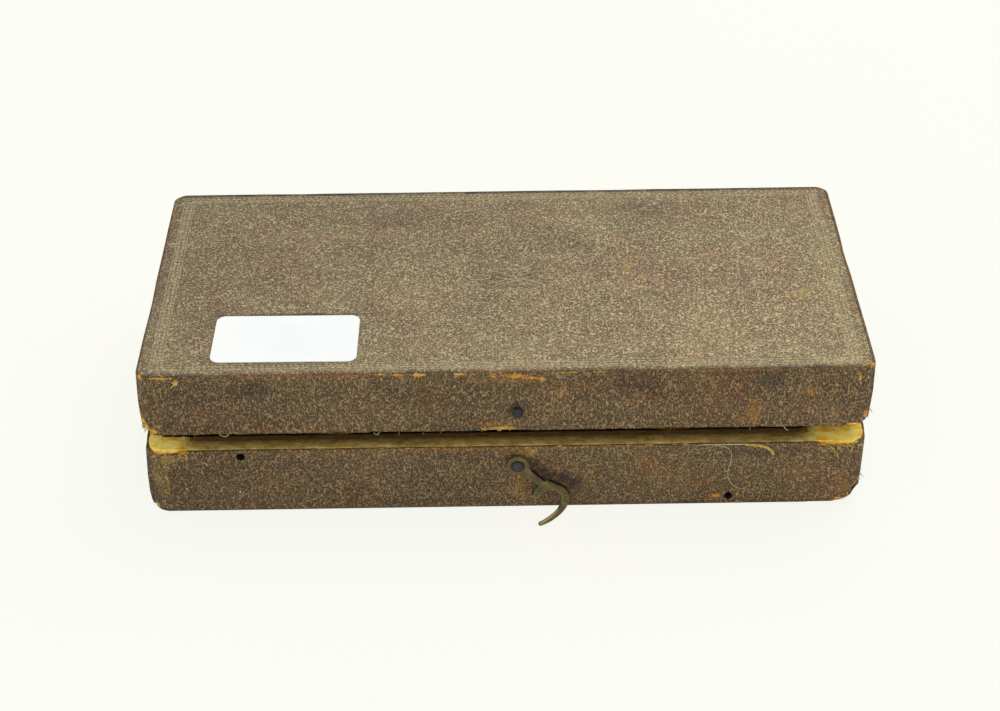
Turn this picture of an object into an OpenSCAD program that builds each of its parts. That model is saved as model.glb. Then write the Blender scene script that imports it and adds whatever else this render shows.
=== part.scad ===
/* [Case] */
// Width of the lid, left to right
lid_width = 190.6; // [187:0.1:215]
// Depth of the case, front to back
case_depth = 91.6; // [90:0.1:105]
// Height of the base
base_height = 22; // [21:0.1:28]
// Height of the lid
lid_height = 19; // [18:0.1:24]
// How far each side of the base stands inside the lid's side
base_inset = 0; // [0:0.1:1.2]
// Thickness of the board that the walls are made of
board = 3.4; // [2.8:0.1:3.8]
// Thickness of the cloth that covers the board
cloth = 0.6; // [0.4:0.1:0.9]
// Thickness of the sheet that the case stands on
bottom_sheet = 0.4; // [0.2:0.1:0.8]
// Radius of the lid's upright corners
lid_corner = 3.5; // [3:0.5:7]
// Radius of the base's upright corners
base_corner = 4.5; // [3:0.5:7]
// Radius of the corners inside the case
inner_corner = 1.5; // [0.5:0.5:3]
// Rounding of the lid's top edges
top_edge = 0.6; // [0.4:0.1:2]
// Rounding of the base's bottom edges
bottom_edge = 0.8; // [0.5:0.1:3]
// Gap between the two rims when the lid is shut
seam = 0.15; // [0.1:0.05:0.4]
// Angle at which the lid stands ajar, in degrees
ajar = 3.065; // [2.9:0.005:4]

/* [Hinges] */
// Length of each hinge along the back
hinge_length = 22; // [16:0.5:30]
// Distance of each hinge from the middle of the case
hinge_spacing = 58; // [45:0.5:70]
// Radius of the hinge barrel
barrel_radius = 1.4; // [1.3:0.05:1.8]
// Radius of the hinge pin
hinge_pin_radius = 0.7; // [0.5:0.05:0.8]
// Thickness of a hinge leaf
leaf_thickness = 0.7; // [0.5:0.05:0.9]
// Width of a leaf inside the rim
leaf_width = 3; // [2.4:0.1:3.4]
// Gap between the barrel and the back of the case
barrel_gap = 0.3; // [0.25:0.05:0.6]

/* [Hook and stud] */
// Distance of the hook's pin to the right of the middle
hook_x = 2.95; // [-10:0.05:10]
// Height of the hook's pin
hook_z = 16.35; // [16.2:0.05:17]
// Angle of the hanging hook below the level, in degrees
hook_droop = 47.2; // [40:0.2:48]
// Radius of the eye that turns on the pin
eye_radius = 3.1; // [2.6:0.1:3.4]
// Distance along the arm from the pin to the middle of the hook's mouth
hook_reach = 14.6; // [14:0.1:15]
// Distance of the mouth's middle to the side of the arm's line
mouth_side = 1.5; // [1:0.1:2]
// Radius of the hook's mouth
mouth_radius = 3; // [2.8:0.1:3.2]
// Width of the band round the mouth
band = 2.2; // [2:0.1:2.4]
// Thickness of the hook's plate
hook_thickness = 1.3; // [1:0.1:1.6]
// Gap between the hook and the front of the case
hook_gap = 0.4; // [0.3:0.05:0.6]
// How far the finger tail curls out from the plate
tail_out = 6.9; // [6:0.1:8]
// Height of the catch stud above the hook's pin, with the lid shut
stud_rise = 12.8; // [12.6:0.1:13.4]
// Radius of the shanks of the hook pin and the catch stud
pin_radius = 0.9; // [0.7:0.05:1]
// Radius of the heads of the hook pin and the catch stud
head_radius = 1.4; // [1.2:0.05:1.5]

/* [Tray] */
// Height of the tray's top above the table
tray_top = 19.5; // [19:0.1:21]
// Depth of the wells
well_depth = 9.5; // [9:0.1:10]
// Width of the rail in front of the pan wells
front_rail = 4.6; // [3:0.1:6]
// Width of the rail behind the beam's slot
back_rail = 3.6; // [2:0.1:5]
// Width of the slot that the beam lies in
slot_width = 14; // [12:0.1:15]
// Width of the column between the two pan wells
column_width = 32; // [30:0.5:33]
// Width of the rails at the two ends of the tray
end_rail = 2.2; // [1.8:0.1:3]
// Radius of the finger scoops beside the pan wells
scoop_radius = 8; // [6:0.5:9]

/* [Balance] */
// Diameter of a pan
pan_diameter = 54; // [48:0.5:55]
// Depth of a pan
pan_depth = 7.5; // [5:0.1:8]
// Thickness of a pan's wall
pan_wall = 0.7; // [0.5:0.05:0.9]
// Room at each end of the tray beyond the beam's eye
beam_room = 19.1; // [18:0.05:30]
// Thickness of the beam's arms
beam_thickness = 1.6; // [1.2:0.1:2]
// Thickness of the beam's boss
boss_thickness = 2.4; // [2:0.1:2.8]
// Radius of the beam's boss
boss_radius = 3.4; // [3:0.1:4]
// Length of the shears from the knife to their top
shears_length = 46; // [40:0.5:48]
// Thickness of a cheek of the shears
cheek = 1.2; // [0.9:0.1:1.4]
// Length of the pointer above the boss
pointer_length = 29; // [20:0.5:32]
// Radius of the suspension ring, to the middle of its wire
ring_radius = 5.2; // [5:0.1:6]
// Radius of the ring's wire
ring_wire = 0.8; // [0.6:0.05:0.85]
// Swing of the shears either way in their recess, in degrees
shears_swing = 8; // [5:0.5:9]

/* [Weights] */
// Radius of the largest weight
weight_radius = 5.2; // [4.6:0.1:5.4]
// Height of the largest weight, without its knob
weight_height = 6; // [4:0.1:6.4]
// Inside width of the small weights' compartment
bay_width = 10; // [8:0.1:10]
// Inside length of the small weights' compartment
bay_length = 30; // [24:0.5:32]
// Thickness of the compartment's flap
flap_thickness = 1.4; // [1:0.1:1.8]

/* [Hidden] */
$fn = 64;
glue = 0.05;
snug = 0.02;
rest_gap = 0.25;
turn_gap = 0.05;
eps = 1;
label_size = [38.1, 21.2, 0.2];
label_place = [37.7 - lid_width / 2, 16.4 - case_depth / 2];
label_corner = 2.5;
label_turn = -0.47;
old_holes = [[-70.15, 19.6, 0.8], [59.8, 3.4, 0.8]];
old_hole_depth = 2.4;

base_width = lid_width - 2 * base_inset;
wall = cloth + board;
inner = [base_width - 2 * wall, case_depth - 2 * wall];
front = -case_depth / 2;
back = case_depth / 2;
lid_floor = base_height + seam;
closed_top = lid_floor + lid_height;
ceiling = closed_top - wall;
axis_y = back + barrel_gap + barrel_radius;
axis_z = base_height + seam / 2;

pad_thickness = 3;
pad_crown = 1.2;
pad_inset = 0.3 * inner_corner + 0.1;
pad_cells = [24, 12];

base_seat = base_height - leaf_thickness - glue;
lid_seat = lid_floor + leaf_thickness + glue;
lid_inner = [lid_width - 2 * wall, case_depth - 2 * wall];

knuckle_gap = 0.2;
knuckle = (hinge_length - 2 * knuckle_gap) / 3;
base_knuckles = [[0, knuckle], [2 * (knuckle + knuckle_gap), knuckle]];
lid_knuckles = [[knuckle + knuckle_gap, knuckle]];
nail_radius = 0.35;
nail_head = 0.7;
nail_head_depth = 0.25;
nail_length = 3.5;
nail_spread = hinge_length / 2 - 3;

stud_z = hook_z + stud_rise;
head_height = 0.9;
pin_depth = wall - 0.6;
tail_path = [[2.6, 2.8, 0.09], [6.1, 0.3, 0.05], [2.1, -2, 0.9], [0.8, -4.6, 1]];
tail_root = [1.15, 0.75];
tail_tip = 0.6;
tail_rings = 16;
tail_sides = 12;
arm_half = 1.5;
arm_shoulder = [[-1.1, 0.57], [-0.83, 0.79], [-0.42, 0.9]];
hook_nose = [[-0.46, -0.37], [-0.65, -0.46], [-1, -0.25], [-1.04, 0.13], [-1.35, 0.1]];
mouth_open = [-143, 25];

tray_fit = 0.2;
tray = [inner[0] - 2 * tray_fit, inner[1] - 2 * tray_fit];
floor_z = bottom_sheet + wall + glue;
well_z = tray_top - well_depth;
pan_clear = 2;
pan_well = pan_diameter / 2 + pan_clear;
pan_x = column_width / 2 + pan_well;
pan_y = -tray[1] / 2 + front_rail + pan_well;
beam_y = tray[1] / 2 - back_rail - slot_width / 2;
beam_length = tray[0] - 2 * beam_room;
slot_length = beam_length + 24;
slot_corner = 2;
cheek_gap = 0.35;
shears_half = boss_thickness / 2 + cheek_gap + cheek;
balance_z = well_z + rest_gap + shears_half;
eye_x = beam_length / 2;
lug_rise = 2.3;
lug_y = beam_y - shears_length - lug_rise;
lug_radius = 2.1;
lug_thickness = 1.6;
ring_play = 0.3;
ring_droop = asin((balance_z - ring_wire - rest_gap - well_z) / (2 * ring_radius));
scoop_turn = 38;
scoop_lap = 1.5;
swing_clear = 0.4;
arm_clear = 4;

beam_root = 2.6;
beam_tip = 0.9;
eye_radius_out = 2.4;
eye_bore = 1.1;
knife_radius = 1.1;
knife_turn = -90;
bush_bore = 1.25;
bush_radius = 2.1;
pointer_root_half = 0.9;
pointer_waist_half = 0.6;
pointer_top_half = 0.2;
pointer_waist = 6;
pointer_depth = 1;
pointer_thickness = 1;

cheek_eye = 3.5;
cheek_neck = 1.7;
cheek_half = 3.4;
cheek_crown = 2.4;
neck_end = 11;
window_start = 18;
window_half = 1.8;
shoulder = 9;
crown_height = 3;

hook_wire = 0.45;
loop_big = 2.1;
loop_small = 1.7;
loop_shank = 1.8;

pan_bead = 0.6;
pan_hole = 0.6;
pan_hole_inset = 2.4;

weight_scale = [1, 0.92, 0.81, 0.7];
weight_gap = 1.8;
weight_clear = 0.6;
weight_bevel = 0.4;
knob_share = 0.36;
weight_x = -tray[0] / 2 + end_rail + weight_radius + weight_clear;
function weight_r(i) = weight_radius * weight_scale[i];
function well_r(i) = weight_r(i) + weight_clear;
function weight_y(i) = i == 0
    ? -tray[1] / 2 + end_rail + well_r(0)
    : weight_y(i - 1) + well_r(i - 1) + weight_gap + well_r(i);

flap_lap = 0.7;
flap_barrel = 1;
flap_pin = 0.5;
flap_clear = 0.3;
flap_axis_x = tray[0] / 2 - end_rail + 0.8 - flap_barrel - flap_clear;
flap_axis_z = tray_top - flap_thickness + 0.5;
bay_x = flap_axis_x - flap_barrel + 0.1 - bay_width;
bay_y = -tray[1] / 2 + front_rail + 0.6;
flap_x = bay_x - flap_lap;
flap_y = bay_y - flap_lap;
flap_size = [flap_axis_x - flap_barrel + 0.2 - flap_x, bay_length + 2 * flap_lap];
flap_pin_end = 1.4;
flap_knob_radius = 1.3;
flap_knob_foot = 0.8;
flap_knob_height = 1.5;
flap_knob_share = 0.38;
grain_sheets = [7, 6, 5, 4];
grain_sheet = 0.4;
grain_gap = 1.2;
grain_corner = 1.2;
grain_upturn = 1.6;
grain_step = 0.3;

// A rectangle with round corners
module round_rect(size, r) {
    square([size[0] - 2 * r, size[1]], center = true);
    square([size[0], size[1] - 2 * r], center = true);
    for (x = [-1, 1], y = [-1, 1])
        translate([x * (size[0] / 2 - r), y * (size[1] / 2 - r)]) circle(r);
}

// A block on z = 0 with round upright corners and round bottom edges
module case_block(w, d, h, corner, edge) {
    intersection() {
        linear_extrude(h) round_rect([w, d], corner);
        translate([0, d / 2 + eps, h]) rotate([90, 0, 0])
            linear_extrude(d + 2 * eps) round_rect([w, 2 * h], edge);
        translate([-w / 2 - eps, 0, h]) rotate([90, 0, 90])
            linear_extrude(w + 2 * eps) round_rect([d, 2 * h], edge);
    }
}

// The same block with each face moved in by t, open at the top
module inset_block(w, d, h, corner, edge, t, up = 0) {
    translate([0, 0, t])
        case_block(w - 2 * t, d - 2 * t, h - t + up, corner - t, max(edge - t, 0.1));
}

module base_block(t = 0, up = 0) {
    translate([0, 0, bottom_sheet])
        inset_block(base_width, case_depth, base_height - bottom_sheet, base_corner, bottom_edge, t, up);
}

// The lid's block in its shut place, top side up
module lid_block(t = 0, down = 0) {
    translate([0, 0, closed_top]) mirror([0, 0, 1])
        inset_block(lid_width, case_depth, lid_height, lid_corner, top_edge, t, down);
}

// Turns what is drawn shut to the angle at which the lid stands ajar
module lid_pose() {
    translate([0, axis_y, axis_z]) rotate([-ajar, 0, 0])
        translate([0, -axis_y, -axis_z]) children();
}

module front_hole(x, z, r, depth) {
    translate([x, front - eps, z]) rotate([-90, 0, 0]) cylinder(r = r, h = depth + eps);
}

module old_nail_holes() {
    for (hole = old_holes) front_hole(hole[0], hole[1], hole[2], old_hole_depth);
}

// A nail or a pin driven in from the front, with its domed head at stand
module front_pin(x, z, stand) {
    dome = (head_radius * head_radius + head_height * head_height) / (2 * head_height);
    translate([x, front, z]) rotate([90, 0, 0]) {
        translate([0, 0, -pin_depth]) cylinder(r = pin_radius, h = pin_depth + stand + 0.1);
        intersection() {
            translate([0, 0, stand]) cylinder(r = head_radius, h = head_height);
            translate([0, 0, stand + head_height - dome]) sphere(dome);
        }
    }
}

module pin_hole(x, z) {
    front_hole(x, z, pin_radius + snug, pin_depth + snug);
}

function leaf_nail_x(side, k) = side * hinge_spacing + k * nail_spread;

// The seat cut for a leaf in a rim, from z low to z high
module leaf_seat(low, high) {
    for (side = [-1, 1])
        translate([side * hinge_spacing - hinge_length / 2 - glue, back - leaf_width - glue, low])
            cube([hinge_length + 2 * glue, leaf_width + glue + eps, high - low]);
}

module leaf_nail_holes(low, high) {
    for (side = [-1, 1], k = [-1, 1])
        translate([leaf_nail_x(side, k), back - leaf_width / 2, low])
            cylinder(r = nail_radius + snug, h = high - low);
}

module base_cuts() {
    leaf_seat(base_seat, base_height + eps);
    leaf_nail_holes(base_height - nail_length - glue, base_height);
    pin_hole(hook_x, hook_z);
    old_nail_holes();
}

module lid_cuts() {
    leaf_seat(lid_floor - eps, lid_seat);
    leaf_nail_holes(lid_floor, lid_floor + nail_length + glue);
    pin_hole(hook_x, stud_z);
}

module base_carcass() {
    color("#b79a5b") difference() {
        base_block(cloth + glue);
        translate([0, 0, bottom_sheet + wall])
            linear_extrude(base_height) round_rect(inner, inner_corner);
        base_cuts();
    }
}

module base_bottom_sheet() {
    color("#3b3126") linear_extrude(bottom_sheet - snug)
        round_rect([base_width - 2 * bottom_edge, case_depth - 2 * bottom_edge], base_corner - bottom_edge);
}

module base_covering() {
    color("#4f4233") difference() {
        base_block();
        base_block(cloth, eps);
        base_cuts();
    }
}

module lid_carcass() {
    color("#b79a5b") lid_pose() difference() {
        lid_block(cloth + glue);
        translate([0, 0, lid_floor - eps])
            linear_extrude(ceiling - lid_floor + eps) round_rect(lid_inner, inner_corner);
        lid_cuts();
    }
}

module lid_covering() {
    color("#5c5040") lid_pose() difference() {
        lid_block();
        lid_block(cloth, eps);
        lid_cuts();
    }
}

// A soft pad on the ceiling: a closed grid whose under side swells to a crown
module lid_lining() {
    half = [lid_inner[0] / 2 - pad_inset, lid_inner[1] / 2 - pad_inset];
    top = ceiling - glue;
    nx = pad_cells[0];
    ny = pad_cells[1];
    function swell(u) = 1 - pow(abs(u), 4);
    function place(i, j, z) = let (u = 2 * i / nx - 1, v = 2 * j / ny - 1)
        [u * half[0], v * half[1], z - (z < top ? pad_crown * swell(u) * swell(v) : 0)];
    low = [for (j = [0:ny], i = [0:nx]) place(i, j, top - pad_thickness)];
    high = [for (j = [0:ny], i = [0:nx]) place(i, j, top)];
    n = len(low);
    function at(i, j) = j * (nx + 1) + i;
    under = [for (j = [0:ny - 1], i = [0:nx - 1], k = [0, 1])
        k == 0 ? [at(i, j), at(i + 1, j), at(i + 1, j + 1)] : [at(i, j), at(i + 1, j + 1), at(i, j + 1)]];
    over = [for (f = under) [n + f[2], n + f[1], n + f[0]]];
    edge = concat(
        [for (i = [0:nx - 1]) at(i, 0)], [for (j = [0:ny - 1]) at(nx, j)],
        [for (i = [nx:-1:1]) at(i, ny)], [for (j = [ny:-1:1]) at(0, j)]);
    m = len(edge);
    sides = [for (k = [0:m - 1], s = [0, 1]) let (a = edge[k], b = edge[(k + 1) % m])
        s == 0 ? [a, n + a, n + b] : [a, n + b, b]];
    color("#7c2f33") lid_pose() polyhedron(concat(low, high), concat(under, over, sides));
}

module label() {
    color("white") lid_pose() translate([label_place[0], label_place[1], closed_top + snug])
        rotate(label_turn) linear_extrude(label_size[2])
            round_rect([label_size[0], label_size[1]], label_corner);
}

// A barrel section of a hinge, from x = 0 to x = length
module hinge_knuckle(length) {
    translate([0, axis_y, axis_z]) rotate([0, 90, 0]) cylinder(r = barrel_radius, h = length);
}

// A leaf with its knuckles; stations give the start and length of each knuckle
module hinge_leaf(side, low, stations) {
    start = side * hinge_spacing - hinge_length / 2;
    difference() {
        union() {
            translate([start, back - leaf_width, low])
                cube([hinge_length, leaf_width, leaf_thickness]);
            for (s = stations) translate([start + s[0], 0, 0]) {
                translate([0, back - leaf_width, low])
                    cube([s[1], axis_y - back + leaf_width, leaf_thickness]);
                hinge_knuckle(s[1]);
            }
        }
        translate([start - eps, axis_y, axis_z]) rotate([0, 90, 0])
            cylinder(r = hinge_pin_radius + turn_gap, h = hinge_length + 2 * eps);
        for (k = [-1, 1]) translate([leaf_nail_x(side, k), back - leaf_width / 2, low - eps])
            cylinder(r = nail_radius + snug, h = leaf_thickness + 2 * eps);
        for (k = [-1, 1]) translate([leaf_nail_x(side, k), back - leaf_width / 2, 0])
            nail_head_cut(low);
    }
}

// The countersink for a nail's head, on the leaf's face at the seam
module nail_head_cut(low) {
    face = low < axis_z - leaf_thickness / 2 ? low + leaf_thickness : low;
    translate([0, 0, face]) cylinder(r = nail_head + snug, h = 2 * nail_head_depth, center = true);
}

module base_leaf(side) {
    color("#a88a45") hinge_leaf(side, base_height - leaf_thickness, base_knuckles);
}

module lid_leaf(side) {
    color("#a88a45") lid_pose() hinge_leaf(side, lid_floor, lid_knuckles);
}

module hinge_pin(side) {
    color("#8d8778") translate([side * hinge_spacing - hinge_length / 2, axis_y, axis_z])
        rotate([0, 90, 0]) cylinder(r = hinge_pin_radius, h = hinge_length);
}

// Four nails; up = 1 drives them up into the lid, up = -1 down into the base
module leaf_nails(face, up) {
    for (side = [-1, 1], k = [-1, 1])
        translate([leaf_nail_x(side, k), back - leaf_width / 2, face]) mirror([0, 0, up > 0 ? 0 : 1]) {
            cylinder(r = nail_radius, h = nail_length);
            cylinder(r = nail_head, h = nail_head_depth - snug);
        }
}

module hinge_nails_base() { color("#8d8778") leaf_nails(base_height, -1); }
module hinge_nails_lid() { color("#8d8778") lid_pose() leaf_nails(lid_floor, 1); }

// Along the hook's arm, across it, and out from its plate
function tail_point(t) = let (p = tail_path, s = 1 - t,
        at = s * s * s * p[0] + 3 * s * s * t * p[1] + 3 * s * t * t * p[2] + t * t * t * p[3])
    [hook_reach + at[0], at[1] - mouth_side, tail_out * at[2]];
function unit(v) = v / norm(v);

// The finger tail: one tube of flat rings that grows thinner and rounder towards its tip
module hook_tail() {
    step = 1 / tail_rings;
    rings = [for (k = [0:tail_rings]) let (
            t = k * step,
            along = unit(tail_point(t + step / 4) - tail_point(max(t - step / 4, 0))),
            side = unit(cross(along, [0, 0, 1])),
            lift = cross(side, along),
            wide = tail_root[0] + (tail_tip - tail_root[0]) * t * t * t,
            thick = tail_root[1] + (tail_tip - tail_root[1]) * t)
        for (s = [0:tail_sides - 1]) let (a = 360 * s / tail_sides)
            tail_point(t) + wide * cos(a) * side + thick * sin(a) * lift];
    last = tail_rings * tail_sides;
    walls = [for (k = [0:tail_rings - 1], s = [0:tail_sides - 1], h = [0, 1]) let (
            a = k * tail_sides + s,
            b = k * tail_sides + (s + 1) % tail_sides)
        h == 0 ? [a, b + tail_sides, a + tail_sides] : [a, b, b + tail_sides]];
    caps = [for (s = [1:tail_sides - 2], e = [0, 1])
        e == 0 ? [0, s + 1, s] : [last, last + s, last + s + 1]];
    polyhedron(rings, concat(walls, caps));
    translate(tail_point(1)) sphere(tail_tip * 1.12);
}

module hook_plate_outline() {
    outer = mouth_radius + band;
    middle = [hook_reach, -mouth_side];
    difference() {
        union() {
            circle(eye_radius);
            polygon(concat(
                [[0, arm_half]], [for (p = arm_shoulder) middle + outer * p],
                [middle], [for (p = hook_nose) middle + outer * p], [[0, -arm_half]]));
            translate(middle) circle(outer);
        }
        circle(pin_radius + turn_gap);
        translate(middle) {
            circle(mouth_radius);
            polygon(concat([[0, 0]], [for (a = [mouth_open[0] : 28 : mouth_open[1]]) 2 * outer * [cos(a), sin(a)]]));
        }
    }
}

module hook() {
    color("#6b5a2c") translate([hook_x, front - hook_gap, hook_z])
        rotate([90, hook_droop, 0]) {
            linear_extrude(hook_thickness) hook_plate_outline();
            hook_tail();
        }
}

module hook_pin() {
    color("#3f382a") front_pin(hook_x, hook_z, hook_gap + hook_thickness + turn_gap);
}

module catch_stud() {
    color("#3f382a") lid_pose() front_pin(hook_x, stud_z, hook_gap + hook_thickness + turn_gap);
}

module tray_floor() {
    color("#5a2327") translate([0, 0, floor_z])
        linear_extrude(well_z - floor_z - snug) round_rect(tray, inner_corner);
}

// The recess that the shears and the ring can swing in, seen from above
module shears_recess() {
    reach = shears_length + ring_radius + lug_radius;
    ring_half = ring_radius + ring_wire + reach * sin(shears_swing) + swing_clear;
    arm_half = arm_clear + (shears_length + lug_rise) * sin(shears_swing);
    low = lug_y - 2 * ring_radius - ring_wire - 3 * swing_clear;
    near = beam_y - slot_width / 2 + eps;
    polygon([[-arm_half, near], [-arm_half, lug_y + arm_clear], [-ring_half, lug_y - 1], [-ring_half, low],
        [ring_half, low], [ring_half, lug_y - 1], [arm_half, lug_y + arm_clear], [arm_half, near]]);
}

module tray_fret() {
    color("#6e2a2f") difference() {
        translate([0, 0, well_z])
            linear_extrude(well_depth) difference() {
                round_rect(tray, inner_corner);
                for (side = [-1, 1]) translate([side * pan_x, pan_y]) {
                    circle(pan_well);
                    rotate(side > 0 ? scoop_turn : 180 - scoop_turn)
                        translate([pan_well - scoop_lap, 0]) circle(scoop_radius);
                }
                translate([0, beam_y]) round_rect([slot_length, slot_width], slot_corner);
                shears_recess();
                for (i = [0:3]) translate([weight_x, weight_y(i)]) circle(well_r(i));
                translate([bay_x, bay_y]) square([bay_width, bay_length]);
            }
        flap_rebate();
    }
}

module flap_rebate() {
    ledge = tray_top - flap_thickness - rest_gap;
    translate([flap_x - flap_clear, flap_y - flap_clear, ledge])
        cube([flap_size[0] + 2 * flap_clear, flap_size[1] + 2 * flap_clear, flap_thickness + eps]);
    translate([bay_x + bay_width - eps, flap_y - flap_clear, flap_axis_z - flap_barrel - flap_clear])
        cube([flap_axis_x + flap_barrel + flap_clear - bay_x - bay_width + eps,
            flap_size[1] + 2 * flap_clear, well_depth]);
    translate([flap_axis_x, flap_y - flap_clear - flap_pin_end - snug, flap_axis_z]) rotate([-90, 0, 0])
        cylinder(r = flap_pin + snug, h = flap_size[1] + 2 * (flap_clear + flap_pin_end + snug));
}

module compartment_flap() {
    color("#7c2f33") difference() {
        union() {
            translate([flap_x, flap_y, tray_top - flap_thickness])
                cube([flap_size[0], flap_size[1], flap_thickness]);
            translate([flap_axis_x, flap_y, flap_axis_z]) rotate([-90, 0, 0])
                cylinder(r = flap_barrel, h = flap_size[1]);
        }
        translate([flap_axis_x, flap_y - eps, flap_axis_z]) rotate([-90, 0, 0])
            cylinder(r = flap_pin + turn_gap, h = flap_size[1] + 2 * eps);
        flap_knob_place() translate([0, 0, -flap_thickness - eps])
            cylinder(r = flap_pin + snug, h = flap_thickness + 2 * eps);
    }
}

module flap_knob_place() {
    translate([flap_x + flap_size[0] * flap_knob_share, flap_y + flap_size[1] / 2, tray_top]) children();
}

module flap_knob() {
    color("#b3924a") flap_knob_place() {
        translate([0, 0, -flap_thickness]) cylinder(r = flap_pin, h = flap_thickness + 0.1);
        translate([0, 0, snug]) cylinder(r1 = flap_knob_foot, r2 = flap_knob_radius, h = flap_knob_foot);
        translate([0, 0, flap_knob_foot])
            cylinder(r = flap_knob_radius, h = flap_knob_height - flap_knob_foot);
    }
}

module flap_pin() {
    color("#8d8778") translate([flap_axis_x, flap_y - flap_clear - flap_pin_end, flap_axis_z])
        rotate([-90, 0, 0]) cylinder(r = flap_pin, h = flap_size[1] + 2 * (flap_clear + flap_pin_end));
}

module beam() {
    color("#7f8078") translate([0, beam_y, balance_z]) difference() {
        union() {
            linear_extrude(beam_thickness, center = true) {
                polygon([[-eye_x, -beam_tip], [0, -beam_root], [eye_x, -beam_tip],
                    [eye_x, beam_tip], [0, beam_root], [-eye_x, beam_tip]]);
                for (side = [-1, 1]) translate([side * eye_x, 0]) circle(eye_radius_out);
            }
            cylinder(r = boss_radius, h = boss_thickness, center = true);
        }
        for (side = [-1, 1]) translate([side * eye_x, 0, 0])
            cylinder(r = eye_bore, h = boss_thickness + eps, center = true);
        rotate(knife_turn)
            cylinder(r = knife_radius + snug, h = boss_thickness + eps, center = true, $fn = 3);
        pointer_root(snug);
    }
}

module centre_knife() {
    color("#a5a59d") translate([0, beam_y, balance_z]) rotate(knife_turn)
        cylinder(r = knife_radius, h = 2 * shears_half, center = true, $fn = 3);
}

// The pointer's foot, let into the boss on the side of the shears
module pointer_root(clear) {
    half = pointer_root_half + clear;
    translate([-half, -boss_radius - eps, -pointer_thickness / 2 - clear])
        cube([2 * half, pointer_depth + eps + clear, pointer_thickness + 2 * clear]);
}

module pointer() {
    foot = pointer_depth - boss_radius;
    waist = -boss_radius - pointer_waist;
    top = -boss_radius - pointer_length;
    color("#7f8078") translate([0, beam_y, balance_z]) linear_extrude(pointer_thickness, center = true)
        polygon([[-pointer_root_half, foot], [-pointer_waist_half, waist], [-pointer_top_half, top],
            [pointer_top_half, top], [pointer_waist_half, waist], [pointer_root_half, foot]]);
}

// One cheek seen along the knife, with its eye at the knife and a window for the pointer
module cheek_outline() {
    top = -shears_length;
    window_length = shears_length - shoulder - window_start + crown_height;
    difference() {
        union() {
            circle(cheek_eye);
            polygon([[-cheek_neck, -eps], [-cheek_neck, -neck_end], [-cheek_half, -window_start],
                [-cheek_half, top + shoulder], [-cheek_crown, top + crown_height], [-cheek_crown, top],
                [cheek_crown, top], [cheek_crown, top + crown_height], [cheek_half, top + shoulder],
                [cheek_half, -window_start], [cheek_neck, -neck_end], [cheek_neck, -eps]]);
        }
        circle(bush_radius + snug);
        translate([0, (top + shoulder - window_start) / 2])
            round_rect([2 * window_half, window_length], window_half - 0.1);
    }
}

module shears() {
    inside = shears_half - cheek;
    color("#b3924a") translate([0, beam_y, balance_z]) {
        for (low = [-shears_half, inside]) translate([0, 0, low]) linear_extrude(cheek) cheek_outline();
        translate([-cheek_crown, -shears_length, -shears_half])
            cube([2 * cheek_crown, crown_height, 2 * shears_half]);
        difference() {
            union() {
                translate([-lug_thickness / 2, -shears_length - lug_radius / 1.5, -lug_thickness])
                    cube([lug_thickness, lug_thickness, 2 * lug_thickness]);
                translate([0, lug_y - beam_y, 0]) rotate([0, 90, 0])
                    cylinder(r = lug_radius, h = lug_thickness, center = true);
            }
            translate([0, lug_y - beam_y, 0]) rotate([0, 90, 0])
                cylinder(r = ring_wire + ring_play, h = 2 * lug_thickness, center = true);
        }
    }
}

module shears_bushes() {
    color("#a5a59d") translate([0, beam_y, balance_z])
        for (low = [-shears_half, shears_half - cheek]) translate([0, 0, low]) difference() {
            cylinder(r = bush_radius, h = cheek);
            translate([0, 0, -eps]) cylinder(r = bush_bore, h = cheek + 2 * eps);
        }
}

// The ring hangs in the lug with its far side resting on the tray's floor
module suspension_ring() {
    color("#b3924a") translate([0, lug_y, balance_z]) rotate([ring_droop, 0, 0])
        translate([0, -ring_radius, 0]) rotate_extrude() translate([ring_radius, 0]) circle(ring_wire);
}

// A wire loop standing in the plane of X and Z
module wire_loop(x, r) {
    translate([x, 0, 0]) rotate([90, 0, 0]) rotate_extrude() translate([r, 0]) circle(hook_wire);
}

module end_hook(side) {
    color("#8d8778") translate([side * eye_x, beam_y, balance_z]) mirror([side > 0 ? 0 : 1, 0, 0]) {
        wire_loop(loop_big, loop_big);
        translate([2 * loop_big - 0.1, 0, 0]) rotate([0, 90, 0])
            cylinder(r = hook_wire, h = loop_shank + 0.2);
        wire_loop(2 * loop_big + loop_shank + loop_small, loop_small);
    }
}

module pan(side) {
    r = pan_diameter / 2;
    dome = (r * r + pan_depth * pan_depth) / (2 * pan_depth);
    color("#c3a252") translate([side * pan_x, pan_y, well_z + rest_gap]) difference() {
        union() {
            intersection() {
                translate([0, 0, dome]) difference() {
                    sphere(dome);
                    sphere(dome - pan_wall);
                }
                cylinder(r = r, h = pan_depth);
            }
            translate([0, 0, pan_depth - pan_bead / 2])
                rotate_extrude() translate([r - pan_bead, 0]) circle(pan_bead);
        }
        for (k = [0:2]) rotate(90 + 120 * k) translate([r - pan_hole_inset, 0, 0])
            cylinder(r = pan_hole, h = pan_depth + eps);
    }
}

module weight(i) {
    r = weight_r(i);
    h = weight_height * weight_scale[i];
    knob = r * knob_share;
    color("#b3924a") translate([weight_x, weight_y(i), well_z + snug]) {
        cylinder(r = r, h = h - weight_bevel);
        translate([0, 0, h - weight_bevel]) cylinder(r1 = r, r2 = r - weight_bevel, h = weight_bevel);
        translate([0, 0, h - 0.2]) cylinder(r1 = knob * 0.8, r2 = knob * 0.45, h = knob + 0.2);
        translate([0, 0, h + knob * 1.5]) sphere(knob);
    }
}

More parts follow.
